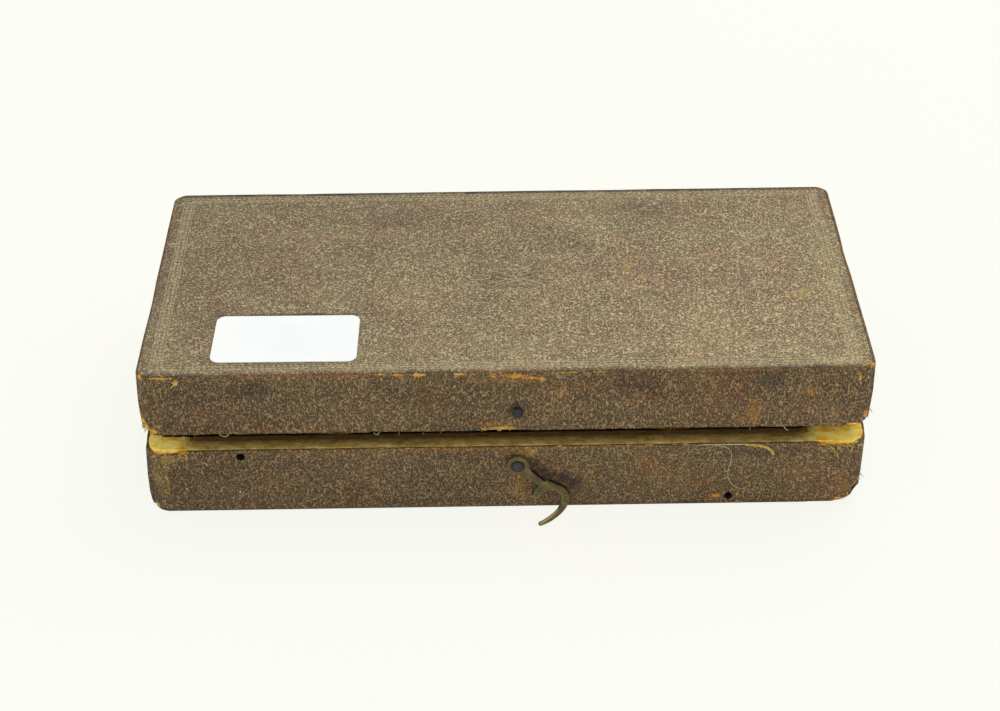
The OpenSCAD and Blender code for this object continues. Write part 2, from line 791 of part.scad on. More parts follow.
// Square sheet weights, each with one corner turned up to pick it up by
module grain_weights() {
    function sheet_y(i) = i == 0 ? bay_y + 1 : sheet_y(i - 1) + grain_sheets[i - 1] + grain_gap;
    color("#c9c7bd") for (i = [0:3])
        let (s = grain_sheets[i], c = s - grain_corner)
            translate([bay_x + 1 + i * grain_step, sheet_y(i), well_z + snug]) {
                linear_extrude(grain_sheet) polygon([[0, 0], [s, 0], [s, c], [c, s], [0, s]]);
                translate([c, s, 0]) rotate(-45) translate([0, -grain_sheet, 0])
                    cube([grain_corner * sqrt(2), grain_sheet, grain_upturn]);
            }
}

base_carcass();
base_covering();
base_bottom_sheet();
tray_floor();
tray_fret();
lid_carcass();
lid_covering();
lid_lining();
label();
base_leaf(-1);  // hinge_base_leaf_left
base_leaf(1);  // hinge_base_leaf_right
lid_leaf(-1);  // hinge_lid_leaf_left
lid_leaf(1);  // hinge_lid_leaf_right
hinge_pin(-1);  // hinge_pin_left
hinge_pin(1);  // hinge_pin_right
hinge_nails_base();
hinge_nails_lid();
hook();
hook_pin();
catch_stud();
beam();
centre_knife();
pointer();
shears();
shears_bushes();
suspension_ring();
end_hook(-1);  // end_hook_left
end_hook(1);  // end_hook_right
pan(-1);  // pan_left
pan(1);  // pan_right
weight(0);  // weight_largest
weight(1);  // weight_large
weight(2);  // weight_small
weight(3);  // weight_smallest
grain_weights();
compartment_flap();
flap_knob();
flap_pin();
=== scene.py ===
from math import cos, pi, radians, sin, tau

import bmesh
import bpy
import numpy as np
from mathutils import Matrix, Vector

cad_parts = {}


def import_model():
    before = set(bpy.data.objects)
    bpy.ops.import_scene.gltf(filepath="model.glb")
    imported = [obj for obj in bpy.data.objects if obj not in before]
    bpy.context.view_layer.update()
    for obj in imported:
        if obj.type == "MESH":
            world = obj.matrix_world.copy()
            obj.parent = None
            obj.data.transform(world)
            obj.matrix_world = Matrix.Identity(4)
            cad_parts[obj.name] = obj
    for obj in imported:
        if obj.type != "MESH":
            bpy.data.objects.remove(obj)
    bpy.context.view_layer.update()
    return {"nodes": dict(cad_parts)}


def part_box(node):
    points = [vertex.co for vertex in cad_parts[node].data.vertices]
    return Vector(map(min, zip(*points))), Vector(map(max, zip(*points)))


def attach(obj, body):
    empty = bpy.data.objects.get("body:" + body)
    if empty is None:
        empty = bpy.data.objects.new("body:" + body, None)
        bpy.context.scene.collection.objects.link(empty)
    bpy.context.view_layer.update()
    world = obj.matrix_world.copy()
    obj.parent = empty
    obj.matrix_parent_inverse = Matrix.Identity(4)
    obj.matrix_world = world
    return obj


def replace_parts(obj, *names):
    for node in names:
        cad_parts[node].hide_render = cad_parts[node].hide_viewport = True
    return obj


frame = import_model()
node = frame["nodes"]
MM = 0.001

# The case, in millimetres: the same sizes as the solids that the new pieces stand for
LID = {"half": (95.3, 45.8), "corner": 3.5, "edge": 0.6, "closed": 41.15, "rim": 22.15}
BASE = {"half": (95.3, 45.8), "corner": 4.5, "edge": 0.8, "closed": 0.4, "rim": 22.0}
CLOTH = 0.55
BOARD_DEPTH = 0.65
FRONT = -45.8
HINGE = Vector((0, 47.5, 22.075)) * MM
AJAR = radians(-3.065)
LID_POSE = Matrix.Translation(HINGE) @ Matrix.Rotation(AJAR, 4, "X") @ Matrix.Translation(-HINGE)
REST = Matrix.Identity(4)

# Crushed corners: the sharp corner's place and how far the rounding reaches along x, y and z
BASE_CRUSHED = [((95.3, FRONT, 0.0), (15.0, 21.0, 17.0)), ((-95.3, FRONT, 0.0), (5.5, 8.0, 6.5))]
LID_CRUSHED = [((-95.3, FRONT, 22.15), (5.5, 8.0, 9.0)), ((95.3, FRONT, 22.15), (4.0, 8.0, 8.0))]
OLD_HOLES = [(-70.15, 19.6), (59.8, 3.4)]
HOLE_RADIUS = 1.2
BORE_DEPTH = 1.2
LID_TOP = 41.1

# How deep the bare board lies under the cloth's face, how uneven the cloth is, and how far the tones of the
# stamped band and of the dark strip outside it go
BARE_DEPTH, UNEVENNESS = 0.22, 0.06
BAND_TONE, STRIP_TONE = 0.24, 0.3


# Noise and masks on arrays of points, in millimetres

def lumps(points, size, seed):
    """Smooth noise from -1 to 1 whose lumps have that size."""
    lattice = np.random.default_rng(seed).uniform(-1, 1, (32, 32, 32))
    place = points / size + 1000.0
    cell = np.floor(place).astype(int)
    t = place - cell
    t = t * t * (3 - 2 * t)
    total = np.zeros(len(points))
    for corner in np.ndindex(2, 2, 2):
        share = np.prod(np.where(corner, t, 1 - t), axis=1)
        index = (cell + corner) % 32
        total += share * lattice[index[:, 0], index[:, 1], index[:, 2]]
    return total


def rough_lumps(points, size, seed, octaves=3):
    return sum(lumps(points, size / 2**k, seed + k) / 2**k for k in range(octaves)) / 1.6


def step(low, high, value):
    t = np.clip((value - low) / (high - low), 0, 1)
    return t * t * (3 - 2 * t)


def spots(points, places, seed):
    """Soft blots that the cloth's material breaks up; each place is x, y, z, three half sizes and a strength."""
    mask = np.zeros(len(points))
    noise = 1 + 0.35 * rough_lumps(points, 3.0, seed)
    for x, y, z, a, b, c, strength in places:
        away = ((points - (x, y, z)) / (a, b, c)) ** 2
        mask = np.maximum(mask, strength * np.exp(-away.sum(axis=1)) * noise)
    return np.clip(mask, 0, 1)


def crush(points, corners, depth):
    """Rounds the worn corners of what lies that deep under the surface; the rounding fades out along the edges."""
    moved = points.copy()
    for corner, reach in corners:
        way = np.array([-np.sign(corner[0]), 1, 1])
        reach = np.array(reach) * (1 + 0.12 * lumps(points, 2.6, 61)[:, None])
        inside = (moved - corner) * way - depth

        def share(pull):
            return np.sqrt(np.clip((inside + pull[:, None] * (reach - inside)) / reach, 0, None)).sum(axis=1)

        low, high = np.zeros(len(points)), np.ones(len(points))
        outside = (share(low) < 1) & np.all(inside < reach, axis=1)
        for _ in range(20):
            middle = (low + high) / 2
            high = np.where(share(middle) < 1, high, middle)
            low = np.where(share(middle) < 1, middle, low)
        pulled = moved + way * high[:, None] * (reach - inside)
        moved = np.where(outside[:, None], pulled, moved)
    return moved


# Materials

def tree_of(name):
    made = bpy.data.materials.new(name)
    made.use_nodes = True
    return made, made.node_tree


def feed(tree, socket, value):
    """Links another node's output to a socket, or sets the socket's own value."""
    if isinstance(value, bpy.types.NodeSocket):
        tree.links.new(value, socket)
    else:
        socket.default_value = value


def wire(tree, kind, sockets=None, **settings):
    """Adds a node; a socket's value is a number, a colour or another node's output."""
    new = tree.nodes.new(kind)
    for key, value in settings.items():
        setattr(new, key, value)
    for key, value in (sockets or {}).items():
        feed(tree, new.inputs[key], value)
    return new


def put(tree, kind, sockets=None, **settings):
    return wire(tree, "ShaderNode" + kind, sockets, **settings)


def paint(red, green, blue):
    """A colour as the eye sees it, from 0 to 255, made linear."""
    return tuple(((c / 255 + 0.055) / 1.055) ** 2.4 if c > 10 else c / 3295 for c in (red, green, blue)) + (1,)


def here(tree, stretch=(1, 1, 1)):
    place = put(tree, "TexCoord").outputs["Object"]
    if stretch == (1, 1, 1):
        return place
    return put(tree, "Mapping", {"Vector": place, "Scale": stretch}).outputs[0]


def noise(tree, scale, detail=3.0, place=None, rough=0.5, twist=0.0):
    return put(tree, "TexNoise", {"Vector": place or here(tree), "Scale": scale, "Detail": detail,
                                  "Roughness": rough, "Distortion": twist}).outputs[0]


def ranged(tree, value, low, high, to_low=0.0, to_high=1.0):
    return put(tree, "MapRange", {"Value": value, "From Min": low, "From Max": high,
                                  "To Min": to_low, "To Max": to_high}).outputs[0]


def sums(tree, operation, a, b):
    return put(tree, "Math", {0: a, 1: b}, operation=operation).outputs[0]


def blend(tree, share, first, second, kind="MIX"):
    """Mixes two colours; one that is given as three numbers is paint."""
    first, second = (paint(*c) if isinstance(c, tuple) and len(c) == 3 else c for c in (first, second))
    return put(tree, "Mix", {0: share, 6: first, 7: second}, data_type="RGBA", blend_type=kind).outputs[2]


def ramp(tree, value, *stops):
    """A colour that follows the value; each stop is its place and three numbers of paint."""
    new = put(tree, "ValToRGB", {"Fac": value})
    line = new.color_ramp
    while len(line.elements) < len(stops):
        line.elements.new(0.5)
    for element, (place, *colour) in zip(line.elements, stops):
        element.position = place
        element.color = paint(*colour)
    return new.outputs[0]


def finish_with(tree, colour, roughness, height=None, depth=0.0001, **sockets):
    """Feeds the shader: depth is how high the surface rises, in metres, where height is 1."""
    shader = tree.nodes["Principled BSDF"]
    feed(tree, shader.inputs["Base Color"], colour)
    feed(tree, shader.inputs["Roughness"], roughness)
    if height is not None:
        bump = put(tree, "Bump", {"Height": height, "Distance": depth})
        tree.links.new(bump.outputs[0], shader.inputs["Normal"])
    for key, value in sockets.items():
        shader.inputs[key.replace("_", " ")].default_value = value
    return shader


def times(tree, a, b):
    return sums(tree, "MULTIPLY", a, b)


def plus(tree, a, b):
    return sums(tree, "ADD", a, b)


def painted(tree, name):
    """The three channels that are painted on a piece's points under that name."""
    return put(tree, "SeparateColor", {"Color": put(tree, "Attribute", attribute_name=name).outputs[0]}).outputs


def broken_up(tree, soft, grain, low, high, reach=0.9):
    """A painted blot with its edges broken up by a grain."""
    return ranged(tree, plus(tree, soft, times(tree, plus(tree, grain, -0.5), reach)), low, high)


def worn_cloth(name, stretch, pitch, ridges, valleys, faded):
    """Book cloth with a worm-like grain: thin pale worn ridges over a darker ground, and its wear."""
    made, tree = tree_of(name)
    place = here(tree, stretch)
    worm = sums(tree, "ABSOLUTE", plus(tree, noise(tree, pitch, 0.7, place, 0.5, 0.5), -0.5), 0)
    ridge = ranged(tree, worm, 0.01, 0.075, 1.0, 0.0)
    fine = noise(tree, pitch * 2.6, 1.5, place)
    cloud = noise(tree, 34, 4.0, here(tree), 0.6)
    blotch = noise(tree, 130, 3.0, here(tree), 0.6)
    rosy = ranged(tree, noise(tree, 62, 3.0, here(tree), 0.6), 0.5, 0.66)
    valley = blend(tree, ranged(tree, cloud, 0.38, 0.62), valleys[0], valleys[1])
    pale = blend(tree, ranged(tree, blotch, 0.38, 0.62), ridges[0], ridges[1])
    pale = blend(tree, rosy, pale, ridges[2])
    x, y, _ = put(tree, "SeparateXYZ", {"Vector": here(tree)}).outputs
    # Painted light: faded paints the colour lighter towards the right and the front; worn adds this slope to the
    # cloth's own cloudy mottling.
    worn = plus(tree, plus(tree, cloud, blotch), times(tree, plus(tree, x, times(tree, y, -1.3)), faded))
    share = plus(tree, times(tree, ridge, 0.85), times(tree, fine, 0.2))
    colour = blend(tree, share, valley, pale)
    colour = blend(tree, 1.0, colour, ranged(tree, worn, 0.6, 1.4, 0.74, 1.16), "MULTIPLY")
    colour = blend(tree, ranged(tree, noise(tree, 1100, 0.5), 0.81, 0.84), colour, (232, 222, 178))
    bare, rub, pressed = painted(tree, "wear")
    dirt_and_shade, yellow, red = painted(tree, "tone")
    torn = noise(tree, 1300, 4.0, here(tree, (0.45, 1, 1)), 0.65)
    scratch = noise(tree, 1300, 3.0, here(tree, (1, 1, 0.35)), 0.6)
    through = plus(tree, times(tree, ridge, 0.45), 0.25)
    for soft, grain, low, high, most, stain in (
            (dirt_and_shade, blotch, 0.2, 0.9, 0.85, (40, 34, 33)),
            (yellow, scratch, 0.3, 0.9, through, (206, 172, 92)),
            (red, scratch, 0.3, 0.9, 0.6, (140, 92, 58)),
            (rub, scratch, 0.28, 0.9, through, (188, 134, 60)),
            (pressed, fine, 0.1, 0.8, plus(tree, times(tree, ridge, 0.3), 0.42), (204, 192, 154))):
        colour = blend(tree, times(tree, broken_up(tree, soft, grain, low, high), most), colour, stain)
    board = ramp(tree, noise(tree, 700, 4.0, here(tree, (0.25, 1, 1))),
                 (0.3, 150, 92, 28), (0.5, 212, 156, 50), (0.7, 244, 210, 124))
    colour = blend(tree, broken_up(tree, bare, torn, 0.5, 0.6, 1.1), colour, board)
    height = plus(tree, times(tree, ridge, 0.8), times(tree, fine, 0.3))
    finish_with(tree, colour, ranged(tree, ridge, 0.0, 1.0, 0.8, 0.64), height, 0.00012, Specular_IOR_Level=0.3)
    return made


def straw_board():
    """Dull yellow board with fibres, clean at the front corners, dirty along the seam with painted shade further in
    under the lid, and painted shade in the old holes.
    """
    made, tree = tree_of("straw_board")
    fibre = noise(tree, 520, 5.0, here(tree, (0.6, 1, 1)), 0.65)
    pulp = noise(tree, 1700, 3.0)
    x, y, z = put(tree, "SeparateXYZ", {"Vector": here(tree)}).outputs
    from_middle = sums(tree, "ABSOLUTE", plus(tree, x, 0.002), 0)
    ends = ranged(tree, plus(tree, from_middle, times(tree, pulp, 0.006)), 0.0835, 0.0875)
    clean = ramp(tree, fibre, (0.36, 238, 178, 58), (0.5, 255, 228, 104), (0.64, 255, 246, 168))
    dirty = ramp(tree, fibre, (0.3, 140, 112, 54), (0.5, 192, 164, 92), (0.7, 224, 200, 128))
    # Painted shade: the dirty board turns dark further in from the front, where the lid's shade falls on the seam;
    # inward is how far in.
    inward = ranged(tree, plus(tree, y, times(tree, pulp, 0.002)), -0.0440, -0.0405, 0.0, 0.8)
    colour = blend(tree, ends, blend(tree, inward, dirty, (84, 62, 32)), clean)
    colour = blend(tree, ranged(tree, pulp, 0.55, 0.75, 0.0, 0.25), colour, (150, 104, 34))
    # Painted shade: the board is painted nearly black round each old hole, as the shade inside the hole.
    for hole_x, hole_z in OLD_HOLES:
        across = sums(tree, "POWER", plus(tree, x, -hole_x * MM), 2.0)
        along = sums(tree, "POWER", plus(tree, z, -hole_z * MM), 2.0)
        painted_shade = ranged(tree, sums(tree, "POWER", plus(tree, across, along), 0.5), 0.00125, 0.0014, 1.0, 0.0)
        colour = blend(tree, painted_shade, colour, (14, 11, 8))
    height = plus(tree, fibre, times(tree, pulp, 0.5))
    finish_with(tree, colour, 0.92, height, 0.0003, Specular_IOR_Level=0.2)
    return made


def metal(name, tones, rough, grain=900.0, grime=None, share=0.0, metallic=1.0, stretch=(1, 1, 1)):
    """Metal with cloudy tarnish, fine scratches and, if given, specks of grime."""
    made, tree = tree_of(name)
    cloud = noise(tree, 240, 5.0, here(tree), 0.62)
    colour = ramp(tree, cloud, *((place, *tone) for place, tone in zip((0.3, 0.5, 0.7), tones)))
    scratch = noise(tree, grain, 4.0, here(tree, stretch), 0.7)
    if grime:
        speck = ranged(tree, noise(tree, 620, 6.0, here(tree), 0.7), 0.5, 0.66, 0.0, share)
        colour = blend(tree, speck, colour, grime)
    finish_with(tree, colour, ranged(tree, cloud, 0.3, 0.7, rough[0], rough[1]), scratch, 0.00003,
                Metallic=metallic)
    return made


def patina():
    """Dark olive patina, with painted shade along the arm, over brass that shows on the edges that fingers touch."""
    made, tree = tree_of("patina")
    cloud = noise(tree, 420, 5.0, here(tree), 0.62)
    pits = noise(tree, 1300, 4.0, here(tree), 0.7)
    edge = put(tree, "Attribute", attribute_name="worn").outputs["Fac"]
    painted_shade = put(tree, "Attribute", attribute_name="painted_shade").outputs["Fac"]
    colour = ramp(tree, cloud, (0.3, 62, 54, 28), (0.5, 98, 86, 46), (0.7, 130, 114, 66))
    colour = blend(tree, ranged(tree, pits, 0.5, 0.64, 0.0, 0.6), colour, (36, 31, 24))
    # Painted shade: the second attribute darkens the hook along its arm, on the outer edges of its bend and round its
    # pin.
    colour = blend(tree, broken_up(tree, painted_shade, pits, 0.2, 0.9, 0.8), colour, (26, 21, 17))
    colour = blend(tree, broken_up(tree, edge, pits, 0.3, 0.8, 0.7), colour, (206, 194, 134))
    finish_with(tree, colour, ranged(tree, cloud, 0.3, 0.7, 0.42, 0.66), pits, 0.00006, Metallic=0.4)
    return made


def velvet():
    made, tree = tree_of("velvet")
    pile = noise(tree, 5200, 2.0)
    brushed = noise(tree, 55, 4.0, here(tree, (1, 0.5, 1)), 0.6)
    colour = ramp(tree, brushed, (0.35, 54, 34, 26), (0.55, 84, 54, 40), (0.72, 112, 76, 56))
    colour = blend(tree, ranged(tree, pile, 0.35, 0.65, 0.0, 0.4), colour, (34, 20, 14))
    shader = finish_with(tree, colour, 0.95, pile, 0.00012, Specular_IOR_Level=0.15)
    shader.inputs["Sheen Weight"].default_value = 0.45
    shader.inputs["Sheen Roughness"].default_value = 0.4
    shader.inputs["Sheen Tint"].default_value = paint(196, 160, 136)
    return made


def silk():
    made, tree = tree_of("silk")
    warp, weft = (put(tree, "TexWave", {"Vector": here(tree), "Scale": 620.0, "Distortion": 0.6, "Detail": 1.0},
                      bands_direction=way).outputs[1] for way in "XY")
    faded = noise(tree, 26, 4.0)
    colour = ramp(tree, faded, (0.3, 116, 44, 48), (0.5, 144, 64, 62), (0.72, 174, 98, 86))
    weave = times(tree, warp, weft)
    colour = blend(tree, ranged(tree, weave, 0.0, 0.8, 0.3, 0.0), colour, (80, 24, 30))
    finish_with(tree, colour, 0.42, weave, 0.00004, Specular_IOR_Level=0.55)
    return made


def paper(name, low, middle, high, rough=0.7):
    made, tree = tree_of(name)
    fibre = noise(tree, 900, 5.0, here(tree), 0.6)
    cloud = noise(tree, 60, 3.0)
    colour = ramp(tree, cloud, (0.35, *low), (0.5, *middle), (0.7, *high))
    colour = blend(tree, ranged(tree, fibre, 0.55, 0.8, 0.0, 0.12), colour, low)
    finish_with(tree, colour, rough, fibre, 0.00002, Specular_IOR_Level=0.4)
    return made


def thread_stuff(name, low, high):
    made, tree = tree_of(name)
    strand = noise(tree, 2600, 3.0, here(tree, (1, 1, 0.4)))
    finish_with(tree, ramp(tree, strand, (0.35, *low), (0.65, *high)), 0.7, strand, 0.00004)
    return made


# The top and the sides are one cloth: the side copy is painted darker than the top copy, as painted shade on the
# upright faces. The last number is how much each is painted lighter towards the right and the front, as painted light.
TOP_CLOTH = worn_cloth(
    "top_cloth", (1, 1, 1), 1340, ((226, 202, 157), (208, 191, 149), (216, 184, 145)),
    ((88, 71, 57), (97, 85, 65)), 3.1)
SIDE_CLOTH = worn_cloth(
    "side_cloth", (1, 1, 0.55), 1700, ((182, 150, 104), (164, 140, 100), (176, 134, 90)),
    ((54, 41, 32), (66, 53, 39)), 0.6)
BOARD = straw_board()
PATINA = patina()
LEAF_BRASS = metal("leaf_brass", ((112, 88, 40), (150, 120, 58), (176, 146, 80)), (0.35, 0.55),
                   grime=(58, 46, 26), share=0.6)
IRON = metal("iron", ((30, 30, 34), (50, 49, 54), (78, 74, 76)), (0.45, 0.7),
             grime=(58, 44, 32), share=0.5, metallic=0.6)
STEEL = metal("steel", ((96, 98, 98), (132, 134, 132), (160, 160, 154)), (0.22, 0.42),
              grain=1600, grime=(92, 74, 54), share=0.35, stretch=(0.1, 1, 1))
BRASS = metal("brass", ((176, 138, 62), (206, 168, 88), (226, 192, 118)), (0.18, 0.36),
              grime=(120, 88, 40), share=0.4)
TIN = metal("tin", ((170, 168, 160), (196, 194, 186), (214, 212, 204)), (0.3, 0.5))
VELVET = velvet()
SILK = silk()
LABEL = paper("label_paper", (244, 249, 252), (249, 252, 254), (252, 254, 255), 0.55)
SHEET = paper("under_sheet", (38, 31, 26), (50, 41, 33), (62, 52, 42), 0.9)
YELLOW_THREAD = thread_stuff("yellow_thread", (150, 122, 34), (206, 182, 84))
PALE_THREAD = thread_stuff("pale_thread", (140, 132, 102), (196, 188, 152))
STRAW_FIBRE = thread_stuff("straw_fibre", (190, 142, 52), (248, 224, 146))

FINISHES = {
    VELVET: ["tray_floor", "tray_fret", "compartment_flap"],
    LABEL: ["label"],
    LEAF_BRASS: ["hinge_base_leaf_left", "hinge_base_leaf_right", "hinge_lid_leaf_left", "hinge_lid_leaf_right"],
    IRON: ["hook_pin", "catch_stud", "hinge_pin_left", "hinge_pin_right", "hinge_nails_base", "hinge_nails_lid"],
    STEEL: ["beam", "centre_knife", "pointer", "shears_bushes", "end_hook_left", "end_hook_right", "flap_pin"],
    BRASS: ["shears", "suspension_ring", "pan_left", "pan_right", "flap_knob"],
    TIN: ["grain_weights"],
}
for finish, names in FINISHES.items():
    for name in names:
        node[name].data.materials.clear()
        node[name].data.materials.append(finish)


# Meshes

def shown(name, data):
    """An object at the origin for a mesh, a lamp or the camera."""
    made = bpy.data.objects.new(name, data)
    bpy.context.scene.collection.objects.link(made)
    return made


def mesh_of(name, points, faces, edges=()):
    """A mesh from points in millimetres."""
    mesh = bpy.data.meshes.new(name)
    mesh.from_pydata([tuple(Vector(p) * MM) for p in points], edges, faces)
    return mesh


def reworked(mesh, change):
    """Changes a mesh in place, through a bmesh."""
    work = bmesh.new()
    work.from_mesh(mesh)
    change(work)
    work.to_mesh(mesh)
    work.free()


def turn_outward(work):
    bmesh.ops.recalc_face_normals(work, faces=work.faces)


def weld(work):
    bmesh.ops.remove_doubles(work, verts=work.verts, dist=0.002 * MM)


def settle(name, mesh, body, materials, pose=REST, smooth=True):
    """A finished piece at the origin: its mesh posed, shaded and given its materials, riding on its body."""
    reworked(mesh, turn_outward)
    mesh.transform(pose)
    mesh.name = name
    mesh.polygons.foreach_set("use_smooth", [smooth] * len(mesh.polygons))
    made = shown(name, mesh)
    for finish in materials:
        if mesh.materials.find(finish.name) < 0:
            mesh.materials.append(finish)
    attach(made, body)
    return made


def joined(name, meshes, body, materials, pose=REST):
    """One piece from several meshes."""
    work = bmesh.new()
    for mesh in meshes:
        work.from_mesh(mesh)
    whole = bpy.data.meshes.new(name)
    work.to_mesh(whole)
    work.free()
    return settle(name, whole, body, materials, pose)


def plain_mesh(made):
    """The evaluated shape of an object as a mesh of its own; the object is removed."""
    bpy.context.view_layer.update()
    mesh = bpy.data.meshes.new_from_object(made.evaluated_get(bpy.context.evaluated_depsgraph_get()))
    bpy.data.objects.remove(made)
    return mesh


def unit_object(name, points, faces):
    """A smooth helper object from points in millimetres."""
    mesh = mesh_of(name, points, faces)
    mesh.polygons.foreach_set("use_smooth", [True] * len(faces))
    return shown(name, mesh)


def triples(items, key):
    flat = np.zeros(len(items) * 3)
    items.foreach_get(key, flat)
    return flat.reshape(-1, 3)


def places_of(mesh):
    """The mesh's points as an array, in millimetres."""
    return triples(mesh.vertices, "co") / MM


def normals_of(mesh):
    return triples(mesh.vertex_normals, "vector")


def move_to(mesh, points):
    mesh.vertices.foreach_set("co", (points * MM).ravel())


def outline_of(nx, ny):
    """The outer points of a grid of nx by ny cells, once round, as pairs of indices."""
    return ([(i, 0) for i in range(nx)] + [(nx, j) for j in range(ny)]
            + [(i, ny) for i in range(nx, 0, -1)] + [(0, j) for j in range(ny, 0, -1)])


def slab(x, y, free, glued, cells, up):
    """Points and faces of a closed slab over a grid: its free side, up or down, its glued side and its walls."""
    nx, ny = cells
    n, at = len(x), lambda i, j: i * (ny + 1) + j
    turned = (lambda quad: quad) if up else (lambda quad: quad[:1] + quad[:0:-1])
    points = np.concatenate([np.stack([x, y, free], 1), np.stack([x, y, np.full(n, glued)], 1)])
    face = [turned((at(i, j), at(i + 1, j), at(i + 1, j + 1), at(i, j + 1))) for i in range(nx) for j in range(ny)]
    back = [tuple(n + k for k in quad[::-1]) for quad in face]
    loop = [at(i, j) for i, j in outline_of(nx, ny)]
    return points, face + back + [turned((a, n + a, n + b, b)) for a, b in zip(loop, loop[1:] + loop[:1])]


def tube(points, sides, closed=False):
    """Faces round rings of that many points, with flat ends unless the last ring joins the first."""
    n, faces = len(points) // sides, []
    for k in range(n if closed else n - 1):
        a, b = k * sides, (k + 1) % n * sides
        faces += [(a + s, a + (s + 1) % sides, b + (s + 1) % sides, b + s) for s in range(sides)]
    return faces if closed else faces + [tuple(range(sides))[::-1], tuple(range((n - 1) * sides, n * sides))]


def lathe(profile, sides):
    """Points and faces of a solid turned round z from pairs of radius and height, with flat ends."""
    points = [(r * cos(tau * s / sides), r * sin(tau * s / sides), h) for r, h in profile for s in range(sides)]
    return points, tube(points, sides)


def lines(half, near, spacing):
    """Grid lines from -half to half that are closer together near the ends."""
    middle = np.linspace(-half + near, half - near, 2 * int((half - near) / spacing) + 1)
    end = np.linspace(-half, -half + near, int(near / (0.6 * spacing)) + 1)
    return np.concatenate([end[:-1], middle, -end[::-1][1:]])


def rounded(x, y, inset, shape):
    """Moves points of a box outline, set in by inset, onto the outline with round corners."""
    a, b = shape["half"][0] - inset, shape["half"][1] - inset
    r = np.maximum(shape["corner"] - inset, 1e-6)
    from_x, from_y = a - np.abs(x), b - np.abs(y)
    on_x = from_x <= from_y + 1e-9
    t = np.where(on_x, from_y, from_x)
    turn = (pi / 4) * (1 - np.clip(t / r, 0, 1))
    angle = np.where(on_x, turn, pi / 2 - turn)
    bent = t < r
    px = np.where(bent, a - r + r * np.cos(angle), np.abs(x))
    py = np.where(bent, b - r + r * np.sin(angle), np.abs(y))
    return np.sign(x) * px, np.sign(y) * py


def cloth_shell(shape, spacing, grid, rim_rise):
    """Points and faces of a covering: closed face, rounded edge, walls, rim and inner skin, in millimetres."""
    edge = shape["edge"]
    a, b = shape["half"][0] - edge, shape["half"][1] - edge
    xs, ys = lines(a, 7, spacing), lines(b, 7, spacing)
    nx, ny = len(xs), len(ys)
    way = 1 if shape["rim"] > shape["closed"] else -1
    height = abs(shape["rim"] - shape["closed"])
    loop = outline_of(nx - 1, ny - 1)
    lx, ly = xs[[i for i, _ in loop]], ys[[j for _, j in loop]]
    m = len(loop)
    points, faces, rings = [], [], []
    if grid:
        gx, gy = np.meshgrid(xs, ys, indexing="ij")
        gx, gy = gx.ravel(), gy.ravel()
        inset = edge + np.minimum(a - np.abs(gx), b - np.abs(gy))
        px, py = rounded(gx, gy, inset, shape)
        points.append(np.stack([px, py, np.full(len(px), float(shape["closed"]))], axis=1))
        faces += [(i * ny + j, (i + 1) * ny + j, (i + 1) * ny + j + 1, i * ny + j + 1)
                  for i in range(nx - 1) for j in range(ny - 1)]
        rings.append([i * ny + j for i, j in loop])
    start = nx * ny if grid else 0

    def add_ring(inset, h):
        px, py = rounded(lx * (a + edge - inset) / a, ly * (b + edge - inset) / b, inset, shape)
        z = shape["closed"] + way * h
        points.append(np.stack([px, py, np.broadcast_to(z, m).astype(float)], axis=1))
        first = start + m * (len(rings) - (1 if grid else 0))
        rings.append(list(range(first, first + m)))

    if not grid:
        add_ring(edge, 0)
    for angle in np.linspace(0, pi / 2, 6)[1:]:
        add_ring(edge * (1 - sin(angle)), edge * (1 - cos(angle)))
    levels = int((height - edge) / spacing)
    outline = np.stack([lx, ly, np.zeros(m)], axis=1)
    rise = rim_rise(outline)
    for k in range(1, levels + 1):
        h = edge + (height - edge) * k / levels
        add_ring(0, h - rise * step(height - 4.0, height, np.array(h)))
    add_ring(CLOTH * 0.5, height - rise * 1.05)
    add_ring(CLOTH, height - rise)
    add_ring(CLOTH, CLOTH)
    for near, far in zip(rings, rings[1:]):
        faces += [(near[k], near[(k + 1) % m], far[(k + 1) % m], far[k]) for k in range(m)]
    faces.append(tuple(rings[-1]))
    if not grid:
        faces.append(tuple(rings[0]))
    return np.concatenate(points), faces


def chips(places, seed):
    """How far the cloth's edge has drawn back from the rim, from x, y, half width and depth."""
    def rise(outline):
        depth = 0.1 + 0.16 * (1 + rough_lumps(outline, 2.2, seed, 4))
        for x, y, half, deep in places:
            near = np.exp(-((outline[:, 0] - x) / half) ** 4 - ((outline[:, 1] - y) / max(half, 3)) ** 4)
            depth = np.maximum(depth, deep * near * (1 + 0.3 * rough_lumps(outline, 1.1, seed + 9, 2)))
        return depth
    return rise


def paint_points(mesh, name, channels):
    layer = mesh.attributes.new(name, "FLOAT_COLOR", "POINT")
    filled = np.ones((len(mesh.vertices), 4), np.float32)
    for k, channel in enumerate(channels):
        filled[:, k] = channel
    layer.data.foreach_set("color", filled.ravel())


def bored(mesh, holes, radius, depth):
    """The mesh with round holes bored into its front."""
    holder = shown("bored", mesh)
    drills = []
    for x, z in holes:
        points, faces = lathe([(radius, 0), (radius, depth + 1)], 24)
        drill = unit_object("drill", [(x + p[0], FRONT - 1 + p[2], z + p[1]) for p in points], faces)
        reworked(drill.data, turn_outward)
        cut = holder.modifiers.new("bore", "BOOLEAN")
        cut.operation, cut.solver, cut.object = "DIFFERENCE", "EXACT", drill
        drills.append(drill)
    result = plain_mesh(holder)
    for drill in drills:
        bpy.data.objects.remove(drill)
    return result


